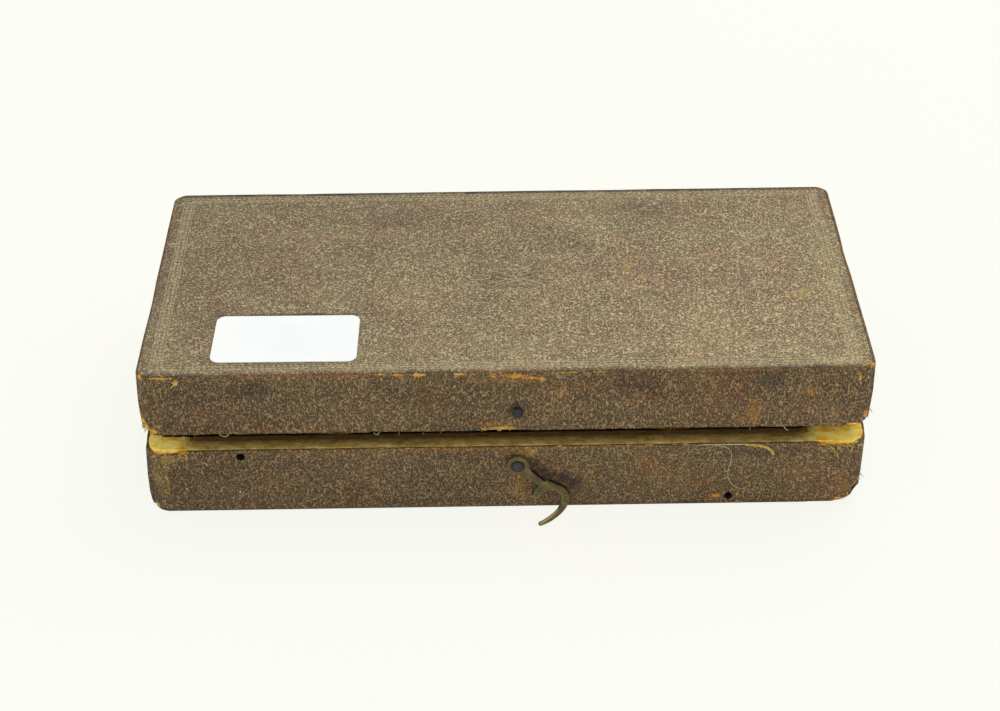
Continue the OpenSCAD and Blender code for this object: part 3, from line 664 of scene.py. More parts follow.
def dress(name, shape, spacing, grid, rise, body, pose, spots_of, crushed, swell, band, depth, replaced, holes=()):
    """A cloth covering with its grain's wear painted on it, its crushed corners and its swollen sides."""
    mesh = mesh_of(name, *cloth_shell(shape, spacing, grid, rise))
    if holes:
        mesh = bored(mesh, holes, HOLE_RADIUS, BORE_DEPTH)
    mesh.materials.append(SIDE_CLOTH)
    mesh.materials.append(TOP_CLOTH)
    made = settle(name, mesh, body, [])
    points = places_of(mesh)
    top = np.abs(points[:, 2] - shape["closed"]) < 0.02
    inner = ((np.abs(points[:, 0]) < shape["half"][0] - 0.3) & (np.abs(points[:, 1]) < shape["half"][1] - 0.3)
             & (np.abs(points[:, 2] - shape["closed"]) > 0.3))
    marks = {kind: spots(points, places, 11 + 10 * k) for k, (kind, places) in enumerate(spots_of.items())}
    for hole in holes:
        away = np.hypot(points[:, 0] - hole[0], points[:, 2] - hole[1])
        ring = points[:, 1] < FRONT + 0.7
        marks["rub"] = np.maximum(marks["rub"], 0.8 * step(1.9, 1.3, away) * ring) * (away > HOLE_RADIUS + 0.08)
        # Painted shade: the cloth's walls inside each old hole are painted dark.
        marks["dirt_and_shade"] = np.maximum(marks["dirt_and_shade"], (away < HOLE_RADIUS + 0.08) * 1.0)
    pressed, edging = band(points, top)
    normals = normals_of(mesh)
    lift = -BARE_DEPTH * marks["bare"] - depth * pressed + UNEVENNESS * rough_lumps(points, 14, 51)
    for side in (0, 1):
        lift += np.interp(points[:, 2], *swell[side]) * np.clip(normals[:, 0] * (2 * side - 1), 0, 1)
    moved = points + normals * (lift * ~inner)[:, None]
    moved = np.where(inner[:, None], crush(moved, crushed, CLOTH), crush(moved, crushed, 0))
    move_to(mesh, moved)
    paint_points(mesh, "wear", (marks["bare"], marks["rub"], BAND_TONE * pressed))
    paint_points(mesh, "tone", (np.maximum(marks["dirt_and_shade"], STRIP_TONE * edging), marks["yellow"], marks["red"]))
    flat = [int(all(top[v] for v in face.vertices)) for face in mesh.polygons]
    mesh.polygons.foreach_set("material_index", flat)
    mesh.transform(pose)
    mesh.update()
    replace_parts(made, replaced)


def worn_board(name, source, body, finish, pose, crushed, depth):
    """A copy of a case's solid with its worn corners rounded as the cloth over it is."""
    mesh = node[source].data.copy()
    mesh.transform(pose.inverted())

    def cut_near_corners(work):
        weld(work)
        for corner, reach in crushed:
            way = (-np.sign(corner[0]), 1, 1)
            for axis in range(3):
                for share in (0.03, 0.08, 0.15, 0.24, 0.36, 0.5, 0.7, 0.99):
                    place, across = [0, 0, 0], [0, 0, 0]
                    place[axis] = (corner[axis] + way[axis] * reach[axis] * share) * MM
                    across[axis] = 1
                    bmesh.ops.bisect_plane(work, geom=work.verts[:] + work.edges[:] + work.faces[:],
                                           plane_co=place, plane_no=across, dist=1e-7)

    reworked(mesh, cut_near_corners)
    move_to(mesh, crush(places_of(mesh), crushed, depth))
    mesh.materials.clear()
    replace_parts(settle(name, mesh, body, [finish], pose, smooth=False), source)


# The border that is stamped into the top of the lid

BORDER = {"side": 4.7, "front": 3.7, "back": 3.5, "width": 2.9, "strip": (-1.2, -2.0), "inner_line": 2.1}


def border_band(points, top):
    """1 inside the stamped band that runs round the top; and 1 on the smooth dark strip outside it, and 0.8 on a thin
    line of painted shade just inside the band.
    """
    from_side = LID["half"][0] - np.abs(points[:, 0])
    from_front = points[:, 1] + LID["half"][1]
    from_back = LID["half"][1] - points[:, 1]
    across = np.minimum(np.minimum(from_side - BORDER["side"], from_front - BORDER["front"]),
                        from_back - BORDER["back"])
    inside = step(BORDER["width"] / 2 + 0.4, BORDER["width"] / 2 - 0.2, np.abs(across)) * top
    # Painted shade: a thin dark line beside the band's inner pressed line.
    line = 0.8 * step(0.5, 0.2, np.abs(across - BORDER["inner_line"]))
    return inside, step(*BORDER["strip"], across) * top + line * top


def no_band(points, top):
    return np.zeros(len(points)), np.zeros(len(points))


def on_front(*marks):
    """Marks on the front, from x, z, three half sizes and a strength."""
    return [(x, FRONT, z, a, b, c, strength) for x, z, a, b, c, strength in marks]


def on_top(*marks):
    """Marks on the lid's top, from x, y, two half sizes and a strength."""
    return [(x, y, LID_TOP, a, b, 1, strength) for x, y, a, b, strength in marks]


LID_SPOTS = {
    "bare": on_front(
        (-3.2, 40.2, 2, 1.6, 0.75, 0.95), (1.2, 39.9, 4.4, 1.6, 0.85, 0.95), (6.5, 39.3, 3.4, 1.6, 0.5, 0.9),
        (9.4, 38.9, 0.7, 1.4, 0.9, 0.9), (-22.8, 40.6, 2.8, 1.4, 0.6, 0.95), (-27.5, 40.6, 2, 1.2, 0.5, 0.95),
        (-12, 40.6, 1.8, 1, 0.4, 0.85), (-8.2, 40.6, 1.4, 1, 0.4, 0.85), (15, 40.7, 4.6, 1, 0.35, 0.75),
        (26, 40.8, 6, 1, 0.3, 0.65), (-33, 40.9, 5, 1, 0.3, 0.65), (-0.8, 22.9, 6.6, 1.4, 0.9, 0.95),
        (-84.9, 39, 1, 1.4, 1.5, 1), (-88.6, 40.6, 4.2, 1.2, 0.4, 0.85), (-92.4, 23.6, 1.8, 1.6, 1.2, 1),
        (91.4, 37.6, 0.6, 1.3, 1.8, 0.9), (91, 22.8, 2.6, 1.4, 0.6, 0.9), (79.2, 32.4, 2.2, 1, 0.6, 0.85),
        (-30, 22.4, 3, 1, 0.4, 0.8), (42, 22.4, 5, 1, 0.4, 0.8)) + [
        (-94.2, -44.8, 40.3, 1.3, 1.7, 1.2, 1), (-94.6, -44.6, 24.6, 1.6, 2, 2.6, 1),
        (93.6, -45, 38.2, 0.6, 1.5, 1.8, 0.9), (94.6, -44.6, 40.6, 1.1, 1.8, 0.8, 1),
        (94.2, -45, 25.6, 1.4, 2, 1.5, 0.9), (-60, 45.8, 40.7, 6, 1, 0.4, 0.9), (30, 45.8, 40.7, 9, 1, 0.4, 0.9),
        (95.3, 8, 40.7, 1, 7, 0.4, 0.9), (-95.3, -12, 40.7, 1, 9, 0.4, 0.9), (94.4, 45, 40.2, 1.6, 1.6, 1.4, 1),
        (-94.4, 45, 40.2, 1.6, 1.6, 1.4, 1), (94.8, 44.7, 23, 1.6, 2, 2.2, 1), (-94.8, 44.7, 23.4, 1.6, 2, 2.2, 1)],
    "rub": on_front(
        (64.4, 27.2, 2.4, 2, 4.4, 1), (62.2, 24.4, 3.2, 2, 1.8, 0.7), (78.8, 33.6, 3, 2, 1.6, 0.9),
        (74.2, 34, 1.4, 2, 1, 0.6), (3, 38.8, 13, 2, 1.3, 0.7), (14, 34, 5, 2, 3.5, 0.5), (20, 36, 9, 2, 2.6, 0.5),
        (-45, 40.6, 36, 1.5, 0.6, 0.75), (55, 40.8, 42, 1.5, 0.45, 0.6), (-90, 30, 4, 2, 7, 0.4),
        (-30, 30, 14, 2, 5, 0.36), (86, 26, 7, 2, 3, 0.5), (-4, 24.6, 10, 2, 1.6, 0.7), (-60, 23, 28, 2, 0.8, 0.55),
        (40, 23, 40, 2, 0.8, 0.5)) + on_top(
        (34, -45.4, 60, 1.1, 0.42), (-2, -45.2, 14, 1.6, 0.6), (93.6, -44, 1.8, 2, 0.8)) + [
        (0, 45.8, 40.6, 70, 1.5, 0.5, 0.7), (95.3, 0, 40.7, 1.5, 40, 0.6, 0.7), (-95.3, 0, 40.7, 1.5, 40, 0.6, 0.6),
        (95.3, -20, 30, 2, 9, 6, 0.45), (-95.3, 20, 30, 2, 9, 6, 0.45), (-94.6, -45, 32, 0.9, 1.4, 6, 0.7)],
    "dirt_and_shade": on_front(
        (2.9, 29, 2.6, 2, 2.8, 1), (-66, 37, 9, 2, 3, 0.55), (34, 37, 12, 2, 3, 0.45), (-20, 24, 30, 2, 1.2, 0.3),
        (70, 37, 8, 2, 3, 0.45), (60, 40, 30, 2, 0.9, 0.5)) + on_top(
        # The mark at 3.2, -2.4 is painted shade over the stamped scroll, beside its pressed lines.
        (16, 17, 15, 10, 0.36), (3.2, -2.4, 13, 6, 0.4), (-30, 30, 22, 8, 0.34), (40, 34, 24, 8, 0.34),
        # The two marks at x -57.6 are painted shadow lines along the label's back and front edges.
        (-78, -20, 8, 14, 0.34), (-94.9, 0, 0.8, 60, 0.5), (94.9, 0, 0.8, 60, 0.5), (-57.6, -18.2, 24, 0.9, 0.95),
        (-57.6, -40.7, 24, 0.7, 0.9)) + [
        (0, 46, 41.1, 400, 2.6, 1.6, 1), (-2, -45, 41.1, 400, 0.9, 0.8, 0.6)],
    "yellow": on_front(
        (14, 34.5, 4.5, 2, 2.6, 0.45)) + on_top(
        (34.6, 3.6, 2.2, 3.4, 0.95), (38.4, -1.6, 1.4, 1.4, 0.9), (30, -4.4, 7, 3.6, 0.5), (38, 8, 1.8, 2, 0.6),
        (80, -12, 5.6, 1.8, 0.9), (82, -10, 2, 2.4, 0.8), (76, -14, 6, 2, 0.5), (-80, 36, 7, 4, 0.4),
        (88, -8, 3, 18, 0.42), (-90.6, 24, 2.4, 14, 0.4), (40, -30, 50, 10, 0.34), (24, 43, 12, 3, 0.5),
        (-12, -30, 60, 8, 0.3), (-60, -14, 14, 5, 0.3)),
    "red": on_front(
        (48, 32, 14, 2, 6, 0.22), (-14, 31, 14, 2, 5, 0.22), (92, 32, 3, 2, 6, 0.33)) + on_top(
        (-92, -30, 2.2, 16, 0.39), (93.4, -20, 1.6, 22, 0.33), (-2, 36, 18, 6, 0.17), (70, -26, 22, 12, 0.19),
        (-20, 4, 30, 9, 0.14)) + [
        (88, -45.6, 41, 8, 1.2, 0.9, 0.5), (66, -45.6, 41, 20, 1, 0.7, 0.33), (-62, -45.6, 41, 34, 1, 0.7, 0.41)],
}
BASE_SPOTS = {
    "bare": on_front(
        (-85, 21.2, 2.6, 1.4, 0.9, 0.9), (89.6, 1.4, 2.2, 1.4, 0.9, 0.95), (56.4, 3.5, 1.4, 1.2, 0.7, 0.9),
        (62, 3.6, 0.8, 1.2, 0.5, 0.85), (30, 21.9, 60, 1.2, 0.3, 0.68), (-40, 21.9, 50, 1.2, 0.3, 0.62)) + [
        (-91.6, -45.4, 21.4, 4.6, 3, 1, 1), (94.2, -42.6, 6.2, 1.2, 3.4, 2.6, 1), (92.2, -44.6, 3, 1.6, 1.6, 2, 1),
        (88.6, -45.6, 21.3, 6.2, 2, 1, 0.95), (-94.2, -44.4, 1.8, 1.2, 2, 1, 1), (94.4, 44.8, 4, 1.4, 2, 3, 1),
        (-94.4, 44.8, 4, 1.4, 2, 3, 1)],
    "rub": on_front(
        (3.7, 12.3, 1.5, 2, 2.2, 0.9), (3.5, 8.6, 1.3, 2, 2.8, 0.75), (6.2, 4.2, 3.4, 2, 1.7, 0.85),
        (5.6, 20.4, 1.2, 2, 3.2, 0.8), (1, 19.6, 4, 2, 1.6, 0.6), (-90.3, 12, 0.5, 1.5, 8.5, 0.4),
        (-62, 9, 16, 2, 6, 0.4), (0, 21.2, 60, 2, 0.8, 0.7), (60, 6, 5, 2, 3, 0.45), (56.2, 3, 2.6, 2, 1.4, 1),
        (62.2, 3, 1.6, 2, 1, 0.85), (36, 16, 4, 2, 5, 0.62), (90, 6, 4, 2, 5, 0.62), (22, 12, 8, 2, 7, 0.42),
        (46, 10, 16, 2, 8, 0.42), (78, 12, 10, 2, 7, 0.42), (-10, 1.2, 60, 2, 0.7, 0.5)) + [
        (95.3, -10, 10, 2, 9, 8, 0.45), (-95.3, 0, 8, 2, 12, 7, 0.45), (40, 45.8, 10, 18, 2, 6, 0.45),
        (-50, 45.8, 8, 14, 2, 5, 0.45)],
    "dirt_and_shade": on_front(
        # Painted shadow: the first seven marks are the hook's shadow on the front, along the upper-right edge of its
        # arm and below its bend.
        (6, 17.3, 1.4, 2, 1.4, 1), (7.6, 15.6, 1.8, 2, 1.6, 1), (9.6, 13.6, 2.2, 2, 1.7, 1),
        (12, 12, 2.6, 2, 1.5, 1), (15.6, 11, 2.8, 2, 1.9, 1), (18.2, 9, 2.6, 2, 2.6, 1), (13, 6.2, 2, 2, 1.8, 0.7),
        (-30, 3, 60, 2, 1.6, 0.35), (66, 1.2, 44, 2, 0.9, 0.6), (70, 18.5, 20, 2, 2, 0.4), (-50, 17, 20, 2, 3, 0.3)) + [
        # The mark at z 0.4 darkens the cloth along the bottom edge all round.
        (-94.2, -44.8, 8, 1.4, 2, 7, 0.5), (0, 0, 0.4, 130, 70, 0.9, 0.9), (94.6, -44, 9.4, 1.2, 2, 0.9, 1)],
    "yellow": on_front(
        (-90.3, 12, 0.55, 1.5, 9, 1), (-89.4, 19, 3.2, 2, 2, 1), (3.2, 17.2, 4.2, 2, 3.6, 0.62),
        (6.4, 19.6, 2.2, 2, 2.4, 0.9), (-86, 19.8, 6, 2, 1.8, 0.62), (30, 14, 12, 2, 5, 0.3), (2, 6, 4, 2, 3, 0.5)) + [
        (-92.4, -45.2, 12, 3, 2, 8, 0.66)],
    "red": on_front(
        (40, 14, 12, 2, 6, 0.28), (76, 14, 14, 2, 5, 0.28), (-74, 12, 12, 2, 6, 0.23), (4, 20.8, 12, 2, 1.2, 0.39),
        (-30, 20.8, 14, 2, 1, 0.28), (12, 0.9, 20, 2, 0.7, 0.33)),
}
LID_CHIPS = [
    (-75.8, FRONT, 1.4, 0.6), (-71.2, FRONT, 0.7, 0.45), (-34.5, FRONT, 1, 0.5), (-1, FRONT, 6, 0.75),
    (29.6, FRONT, 0.8, 0.5), (52, FRONT, 2.4, 0.4), (66, FRONT, 0.9, 0.5), (90.5, FRONT, 2.6, 0.9),
    (94.4, -44, 2, 1.2), (-94.2, -44, 2.6, 1.2)]
BASE_CHIPS = [
    (-90.4, -45, 5.2, 1.35), (-75, FRONT, 1.2, 0.35), (-40, FRONT, 2.5, 0.3), (18, FRONT, 4, 0.3),
    (87.4, -45, 5.4, 1.15), (94.2, -42, 2.5, 1.4), (-94.6, -41, 2.4, 1.3)]
LID_SWELL = (([22, 25, 32, 41], [0.1, 0.3, 0.45, 0.1]), ([22, 25, 32, 41], [0.05, 0.15, 0.5, 0.35]))
BASE_SWELL = (([0.4, 2, 5, 11, 19, 22], [0.2, 0.7, 0.95, 0.9, 0.4, 0.2]), ([0, 5, 22], [0.1, 0.15, 0.05]))

dress("lid_cloth", LID, 0.7, True, chips(LID_CHIPS, 71), "lid", LID_POSE, LID_SPOTS, LID_CRUSHED, LID_SWELL,
      border_band, 0.14, "lid_covering")
dress("base_cloth", BASE, 0.62, False, chips(BASE_CHIPS, 81), "base", REST, BASE_SPOTS, BASE_CRUSHED, BASE_SWELL,
      no_band, 0.0, "base_covering", OLD_HOLES)
worn_board("lid_board", "lid_carcass", "lid", BOARD, LID_POSE, LID_CRUSHED, BOARD_DEPTH)
worn_board("base_board", "base_carcass", "base", BOARD, REST, BASE_CRUSHED, BOARD_DEPTH)
worn_board("under_sheet", "base_bottom_sheet", "base", SHEET, REST, BASE_CRUSHED, 0.3)


# Rows along a path and scatters over a face, made by geometry nodes

UNIT_INPUTS = [("Unit", "Object"), ("Jitter", "Vector"), ("Least", "Float"), ("Most", "Float"),
               ("Seed", "Int"), ("Finish", "Material")]


def geometry_tree(name, measure):
    """A tree with its inputs: the geometry, one measure, and what describes the unit that it places."""
    tree = bpy.data.node_groups.new(name, "GeometryNodeTree")
    for label, kind in [("Geometry", "Geometry"), (measure, "Float")] + UNIT_INPUTS:
        tree.interface.new_socket(label, in_out="INPUT", socket_type="NodeSocket" + kind)
    tree.interface.new_socket("Geometry", in_out="OUTPUT", socket_type="NodeSocketGeometry")
    return tree, tree.nodes.new("NodeGroupInput").outputs, tree.nodes.new("NodeGroupOutput")


def instance_end(tree, given, out, points, turn):
    """Instances of the unit with random turn and size, realised, with their material."""
    unit = wire(tree, "GeometryNodeObjectInfo", {"Object": given["Unit"]}).outputs["Geometry"]
    jitter = wire(tree, "FunctionNodeRandomValue", {"Min": (-1, -1, -1), "Max": (1, 1, 1), "Seed": given["Seed"]},
                  data_type="FLOAT_VECTOR").outputs[0]
    scaled = wire(tree, "ShaderNodeVectorMath", {0: jitter, 1: given["Jitter"]}, operation="MULTIPLY").outputs[0]
    turned = wire(tree, "FunctionNodeEulerToRotation", {0: scaled}).outputs[0]
    jittered = wire(tree, "FunctionNodeRotateRotation", {"Rotation": turn, "Rotate By": turned},
                    rotation_space="LOCAL").outputs[0]
    size = wire(tree, "FunctionNodeRandomValue", {2: given["Least"], 3: given["Most"], "Seed": given["Seed"]},
                data_type="FLOAT").outputs[1]
    placed = wire(tree, "GeometryNodeInstanceOnPoints",
                  {"Points": points, "Instance": unit, "Rotation": jittered, "Scale": size}).outputs[0]
    real = wire(tree, "GeometryNodeRealizeInstances", {"Geometry": placed}).outputs[0]
    finished = wire(tree, "GeometryNodeSetMaterial", {"Geometry": real, "Material": given["Finish"]}).outputs[0]
    tree.links.new(finished, out.inputs[0])
    return tree


def row_tree():
    tree, given, out = geometry_tree("row_along_path", "Spacing")
    curve = wire(tree, "GeometryNodeMeshToCurve", {"Mesh": given["Geometry"]}).outputs[0]
    even = wire(tree, "GeometryNodeResampleCurve", {"Curve": curve, "Length": given["Spacing"]},
                mode="LENGTH").outputs[0]
    along = wire(tree, "GeometryNodeInputTangent").outputs[0]
    turn = wire(tree, "FunctionNodeAlignRotationToVector", {"Vector": along}, axis="X", pivot_axis="Z").outputs[0]
    return instance_end(tree, given, out, even, turn)


def scatter_tree():
    tree, given, out = geometry_tree("scatter_on_faces", "Density")
    spread = wire(tree, "GeometryNodeDistributePointsOnFaces",
                  {"Mesh": given["Geometry"], "Density": given["Density"], "Seed": given["Seed"]}).outputs
    return instance_end(tree, given, out, spread["Points"], spread["Rotation"])


def grow(name, source, tree, values):
    """The mesh that the tree makes on a source mesh."""
    holder = shown(name, source)
    modifier = holder.modifiers.new("grow", "NODES")
    modifier.node_group = tree
    for item in tree.interface.items_tree:
        if item.in_out == "INPUT" and item.name in values:
            modifier[item.identifier] = values[item.name]
    return plain_mesh(holder)


def loop_mesh(name, points):
    """A closed path as a mesh of edges."""
    n = len(points)
    return mesh_of(name, points, [], [(k, (k + 1) % n) for k in range(n)])


def bead_unit(length, width, height):
    """Half of a flat egg, closed underneath, lying along x."""
    rings, sides = 4, 10
    points, faces = [], []
    for r in range(rings):
        up = (pi / 2) * r / rings
        for s in range(sides):
            turn = tau * s / sides
            points.append((length / 2 * cos(up) * cos(turn), width / 2 * cos(up) * sin(turn), height * sin(up)))
    points.append((0, 0, height))
    for r in range(rings - 1):
        for s in range(sides):
            t = (s + 1) % sides
            faces.append((r * sides + s, r * sides + t, (r + 1) * sides + t, (r + 1) * sides + s))
    last = (rings - 1) * sides
    faces += [(last + s, last + (s + 1) % sides, rings * sides) for s in range(sides)]
    faces.append(tuple(range(sides - 1, -1, -1)))
    return points, faces


def fibre_unit(length, radius, bend):
    """A bent hair that grows thinner to both ends, along x and curling up."""
    rings, sides = 6, 5
    points, faces = [], []
    for r in range(rings + 1):
        t = r / rings
        thick = radius * (0.35 + 0.65 * sin(pi * (0.1 + 0.85 * t)))
        for s in range(sides):
            turn = tau * s / sides
            points.append((length * t, thick * cos(turn) + bend * 0.6 * t * t, thick * sin(turn) + bend * t * t))
    for r in range(rings):
        for s in range(sides):
            t = (s + 1) % sides
            faces.append((r * sides + s, (r + 1) * sides + s, (r + 1) * sides + t, r * sides + t))
    faces.append(tuple(range(sides)))
    faces.append(tuple(range((rings + 1) * sides - 1, rings * sides - 1, -1)))
    return points, faces


def border_path(shift):
    """The middle line of the stamped border, moved in by shift, in millimetres."""
    x = LID["half"][0] - BORDER["side"] - shift
    low, high = -LID["half"][1] + BORDER["front"] + shift, LID["half"][1] - BORDER["back"] - shift
    z = LID["closed"] - 0.14
    return [(-x, low, z), (x, low, z), (x, high, z), (-x, high, z)]


def ribbon(points, width, height, closed=True):
    """A low half-round ridge along a path on the top, in millimetres."""
    n = len(points)
    count = n if closed else n - 1
    made, faces = [], []
    profile = [(-0.5, 0), (-0.32, 0.75), (0, 1), (0.32, 0.75), (0.5, 0)]
    for k in range(n):
        before = Vector(points[(k - 1) % n] if closed or k else points[0])
        after = Vector(points[(k + 1) % n] if closed or k < n - 1 else points[-1])
        here_at = Vector(points[k])
        first, second = (here_at - before), (after - here_at)
        first = first.normalized() if first.length else second.normalized()
        second = second.normalized() if second.length else first
        along = (first + second).normalized()
        side = Vector((-along.y, along.x, 0)) / max(0.5, along.dot(first))
        thin = 1.0 if closed else sin(pi * (0.08 + 0.84 * k / (n - 1))) ** 0.5
        made += [here_at + side * (u * width * thin) + Vector((0, 0, v * height * thin)) for u, v in profile]
    w = len(profile)
    for k in range(count):
        a, b = k * w, ((k + 1) % n) * w
        faces += [(a + s, b + s, b + s + 1, a + s + 1) for s in range(w - 1)] + [(a + w - 1, b + w - 1, b, a)]
    if not closed:
        faces += [tuple(range(w)), tuple(range((n - 1) * w, n * w))[::-1]]
    return made, faces


def smooth_path(corners, per_span=6, closed=False):
    """Points on a curve through the corners."""
    c = np.array(corners, float)
    n = len(c)
    spans = n if closed else n - 1
    path = []
    for k in range(spans):
        p0, p1, p2, p3 = (c[(k + d) % n] if closed else c[min(max(k + d, 0), n - 1)] for d in (-1, 0, 1, 2))
        for t in np.arange(per_span) / per_span:
            path.append(0.5 * (2 * p1 + (p2 - p0) * t + (2 * p0 - 5 * p1 + 4 * p2 - p3) * t**2
                               + (3 * p1 - p0 - 3 * p2 + p3) * t**3))
    if not closed:
        path.append(c[-1])
    return [tuple(p) for p in path]


def strand(path, half_width, half_thick, out=(0, -1, 0), closed=False):
    """A round or flat strand along a path, thinner at open ends; out is the way its flat side faces."""
    n, sides, made = len(path), 8, []
    for k in range(n):
        before = Vector(path[(k - 1) % n] if closed else path[max(k - 1, 0)])
        after = Vector(path[(k + 1) % n] if closed else path[min(k + 1, n - 1)])
        along = (after - before).normalized()
        side = along.cross(Vector(out)).normalized()
        lift = side.cross(along)
        thin = 1.0 if closed else min(1.0, 0.35 + 4 * min(k, n - 1 - k) / n)
        for turn in (tau * s / sides for s in range(sides)):
            across, up = half_width * thin * cos(turn), half_thick * thin * sin(turn)
            made.append(Vector(path[k]) + side * across + lift * up)
    return made, tube(made, sides, closed)


def stamped(name, meshes):
    """A piece that is pressed into the lid's cloth, toned as the pressed grain is."""
    made = joined(name, meshes, "lid", [TOP_CLOTH], LID_POSE)
    paint_points(made.data, "wear", (0, 0, 1))
    paint_points(made.data, "tone", (0, 0.1, 0))


ROW, SCATTER = row_tree(), scatter_tree()
bead = unit_object("bead", *bead_unit(1.3, 0.95, 0.24))
ROPE = {"Spacing": 1.5 * MM, "Unit": bead, "Jitter": (0.05, 0.05, 0.2), "Least": 0.75, "Most": 1.12,
        "Finish": TOP_CLOTH}
border_meshes = [grow("border", loop_mesh("border", border_path(shift)), ROW, dict(ROPE, Seed=seed))
                 for shift, seed in ((-0.6, 3), (0.6, 4))]
border_meshes += [mesh_of("line", *ribbon(border_path(shift), 0.34, 0.18)) for shift in (-1.45, 1.45)]
stamped("stamped_border", border_meshes)


# The scroll that is stamped into the middle of the lid: a common motif, the same left and right

SCROLL = {"middle": (3.2, -2.4), "line": 0.5, "rise": 0.2}
SCROLL_LINES = [
    ([(-7.2, 4.4), (-4.6, 3.9), (-2.2, 2.4), (0, 1.5)], False),
    ([(-7.0, -1.6), (-4.4, -1.0), (-2, 0.2), (0, 0.6)], False),
    ([(-11.6, 1.0), (-10.2, 2.4), (-8, 2.6), (-6.2, 1.6), (-7.6, 0.4), (-10, 0.2)], True),
    ([(-12.4, -1.8), (-11.4, -0.7), (-9.8, -0.9), (-9.6, -2.2), (-11, -2.8)], True),
    ([(-6.0, -3.4), (-4, -2.4), (-1.6, -2.2), (0, -2.8)], False),
    ([(-5.4, -4.2), (-3.4, -5.2), (-1.4, -5.2), (0, -4.6)], False),
    ([(-4.8, 1.9), (-3.2, 0.9), (-1.4, 0.2), (-0.2, -0.6), (-1.8, -1.3), (-4.4, -1.9)], False),
    ([(0, 3.4), (-0.9, 4.6), (0, 5.8)], False), ([(-3.6, 4.9), (-2.2, 5.5), (-1.2, 4.9)], False),
]


def scroll_mesh(corners, closed, way):
    level = LID["closed"] - 0.03
    placed = [(SCROLL["middle"][0] + 1.08 * way * x, SCROLL["middle"][1] + y, level) for x, y in corners]
    path = smooth_path(placed, 6, closed)
    return mesh_of("scroll", *ribbon(path, SCROLL["line"], SCROLL["rise"], closed))


stamped("stamped_scroll", [scroll_mesh(corners, closed, way) for corners, closed in SCROLL_LINES for way in (-1, 1)])


# The hook, forged and filed round, with its high edges rubbed bright

def filed_round(source, voxel, turns):
    """A copy of a CAD node whose edges are worn round, and how proud of its surroundings each point stood."""
    mesh = source.data.copy()
    reworked(mesh, weld)
    holder = shown("blank", mesh)
    remesh = holder.modifiers.new("voxels", "REMESH")
    remesh.mode, remesh.voxel_size = "VOXEL", voxel * MM
    mesh = plain_mesh(holder)
    points = places_of(mesh)
    ends = np.zeros(len(mesh.edges) * 2, int)
    mesh.edges.foreach_get("vertices", ends)
    ends = ends.reshape(-1, 2)
    count = np.bincount(ends.ravel(), minlength=len(points))[:, None]
    stood = points.copy()
    for _ in range(turns):
        total = np.zeros_like(points)
        np.add.at(total, ends[:, 0], points[ends[:, 1]])
        np.add.at(total, ends[:, 1], points[ends[:, 0]])
        points = 0.4 * points + 0.6 * total / count
    move_to(mesh, points)
    mesh.update()
    normals = normals_of(mesh)
    proud = ((stood - points) * normals).sum(axis=1)
    move_to(mesh, points + normals * (0.03 * rough_lumps(points, 1.2, 17))[:, None])
    return mesh, proud


HOOK_PIN, HOOK_BEND, HOOK_TAIL = (2.95, 16.35), (12.4, 5.8), (-47.9, -50.5)

hook_mesh, proud = filed_round(node["hook"], 0.13, 6)
hook_mesh.materials.clear()
hook_points, facing = places_of(hook_mesh), normals_of(hook_mesh)
from_pin = np.hypot(hook_points[:, 0] - HOOK_PIN[0], hook_points[:, 2] - HOOK_PIN[1])
to_bend = HOOK_BEND - hook_points[:, [0, 2]]
to_bend /= np.linalg.norm(to_bend, axis=1)[:, None] + 1e-9
inward = (facing[:, [0, 2]] * to_bend).sum(axis=1)
arm = step(3.2, 4.4, from_pin) * step(10.5, 8.5, from_pin)
reached = np.interp(from_pin, [0, 3, 4, 9, 11, 30], [0.45, 0.45, 0.12, 0.1, 1, 1])
tail = step(*HOOK_TAIL, hook_points[:, 1])
bright = reached * step(0.012, 0.06, proud) * (0.15 + 0.85 * step(-0.2, 0.4, inward))
bright += 0.5 * tail * step(0.25, 0.8, inward)
# Painted shade: the arm is darkened, most on the faces that turn up and to the right, and so are the outer edges of the
# bend and the eye round the pin.
shaded = step(0.0, 0.5, facing[:, 0] * 0.55 + facing[:, 2] * 0.83)
hook_shade = np.maximum(arm * np.maximum(0.3, shaded), step(0.1, 0.8, -inward) * (from_pin > 10) * 0.8)
hook_shade = np.maximum(hook_shade, 0.9 * step(2.4, 1.7, from_pin))
hook_piece = settle("worn_hook", hook_mesh, "hook", [PATINA])
for label, amount in (("worn", bright), ("painted_shade", hook_shade)):
    layer = hook_piece.data.attributes.new(label, "FLOAT", "POINT")
    layer.data.foreach_set("value", np.clip(amount, 0, 1).astype(np.float32))
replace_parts(hook_piece, "hook")


# Turned weights

def turned_weight(name):
    low, high = (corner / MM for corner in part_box(name))
    middle, r = (low + high) / 2, (high.x - low.x) / 2
    knob = r * 0.36
    h = high.z - low.z - 2.5 * knob
    profile = [
        (r - 0.4, 0), (r - 0.12, 0.08), (r, 0.35), (r, 0.2 * h), (r - 0.2, 0.2 * h + 0.14), (r - 0.2, 0.2 * h + 0.3),
        (r, 0.2 * h + 0.44), (r, 0.72 * h), (r - 0.2, 0.72 * h + 0.14), (r - 0.2, 0.72 * h + 0.28),
        (r - 0.05, 0.72 * h + 0.42), (r - 0.08, h - 0.32), (r - 0.3, h - 0.06), (r - 0.75, h), (0.62 * r, h - 0.1),
        (knob + 0.5, h - 0.06), (knob * 0.78, h + 0.12), (knob * 0.5, h + 0.34 * knob), (knob * 0.46, h + 0.6 * knob)]
    for turn in np.linspace(-58, 88, 10):
        profile.append((knob * cos(radians(turn)), h + knob * (1.5 + sin(radians(turn)))))
    points, faces = lathe(profile, 48)
    placed = [(middle.x + x, middle.y + y, low.z + z) for x, y, z in points]
    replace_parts(settle("turned_" + name, mesh_of(name, placed, faces), name, [BRASS]), name)


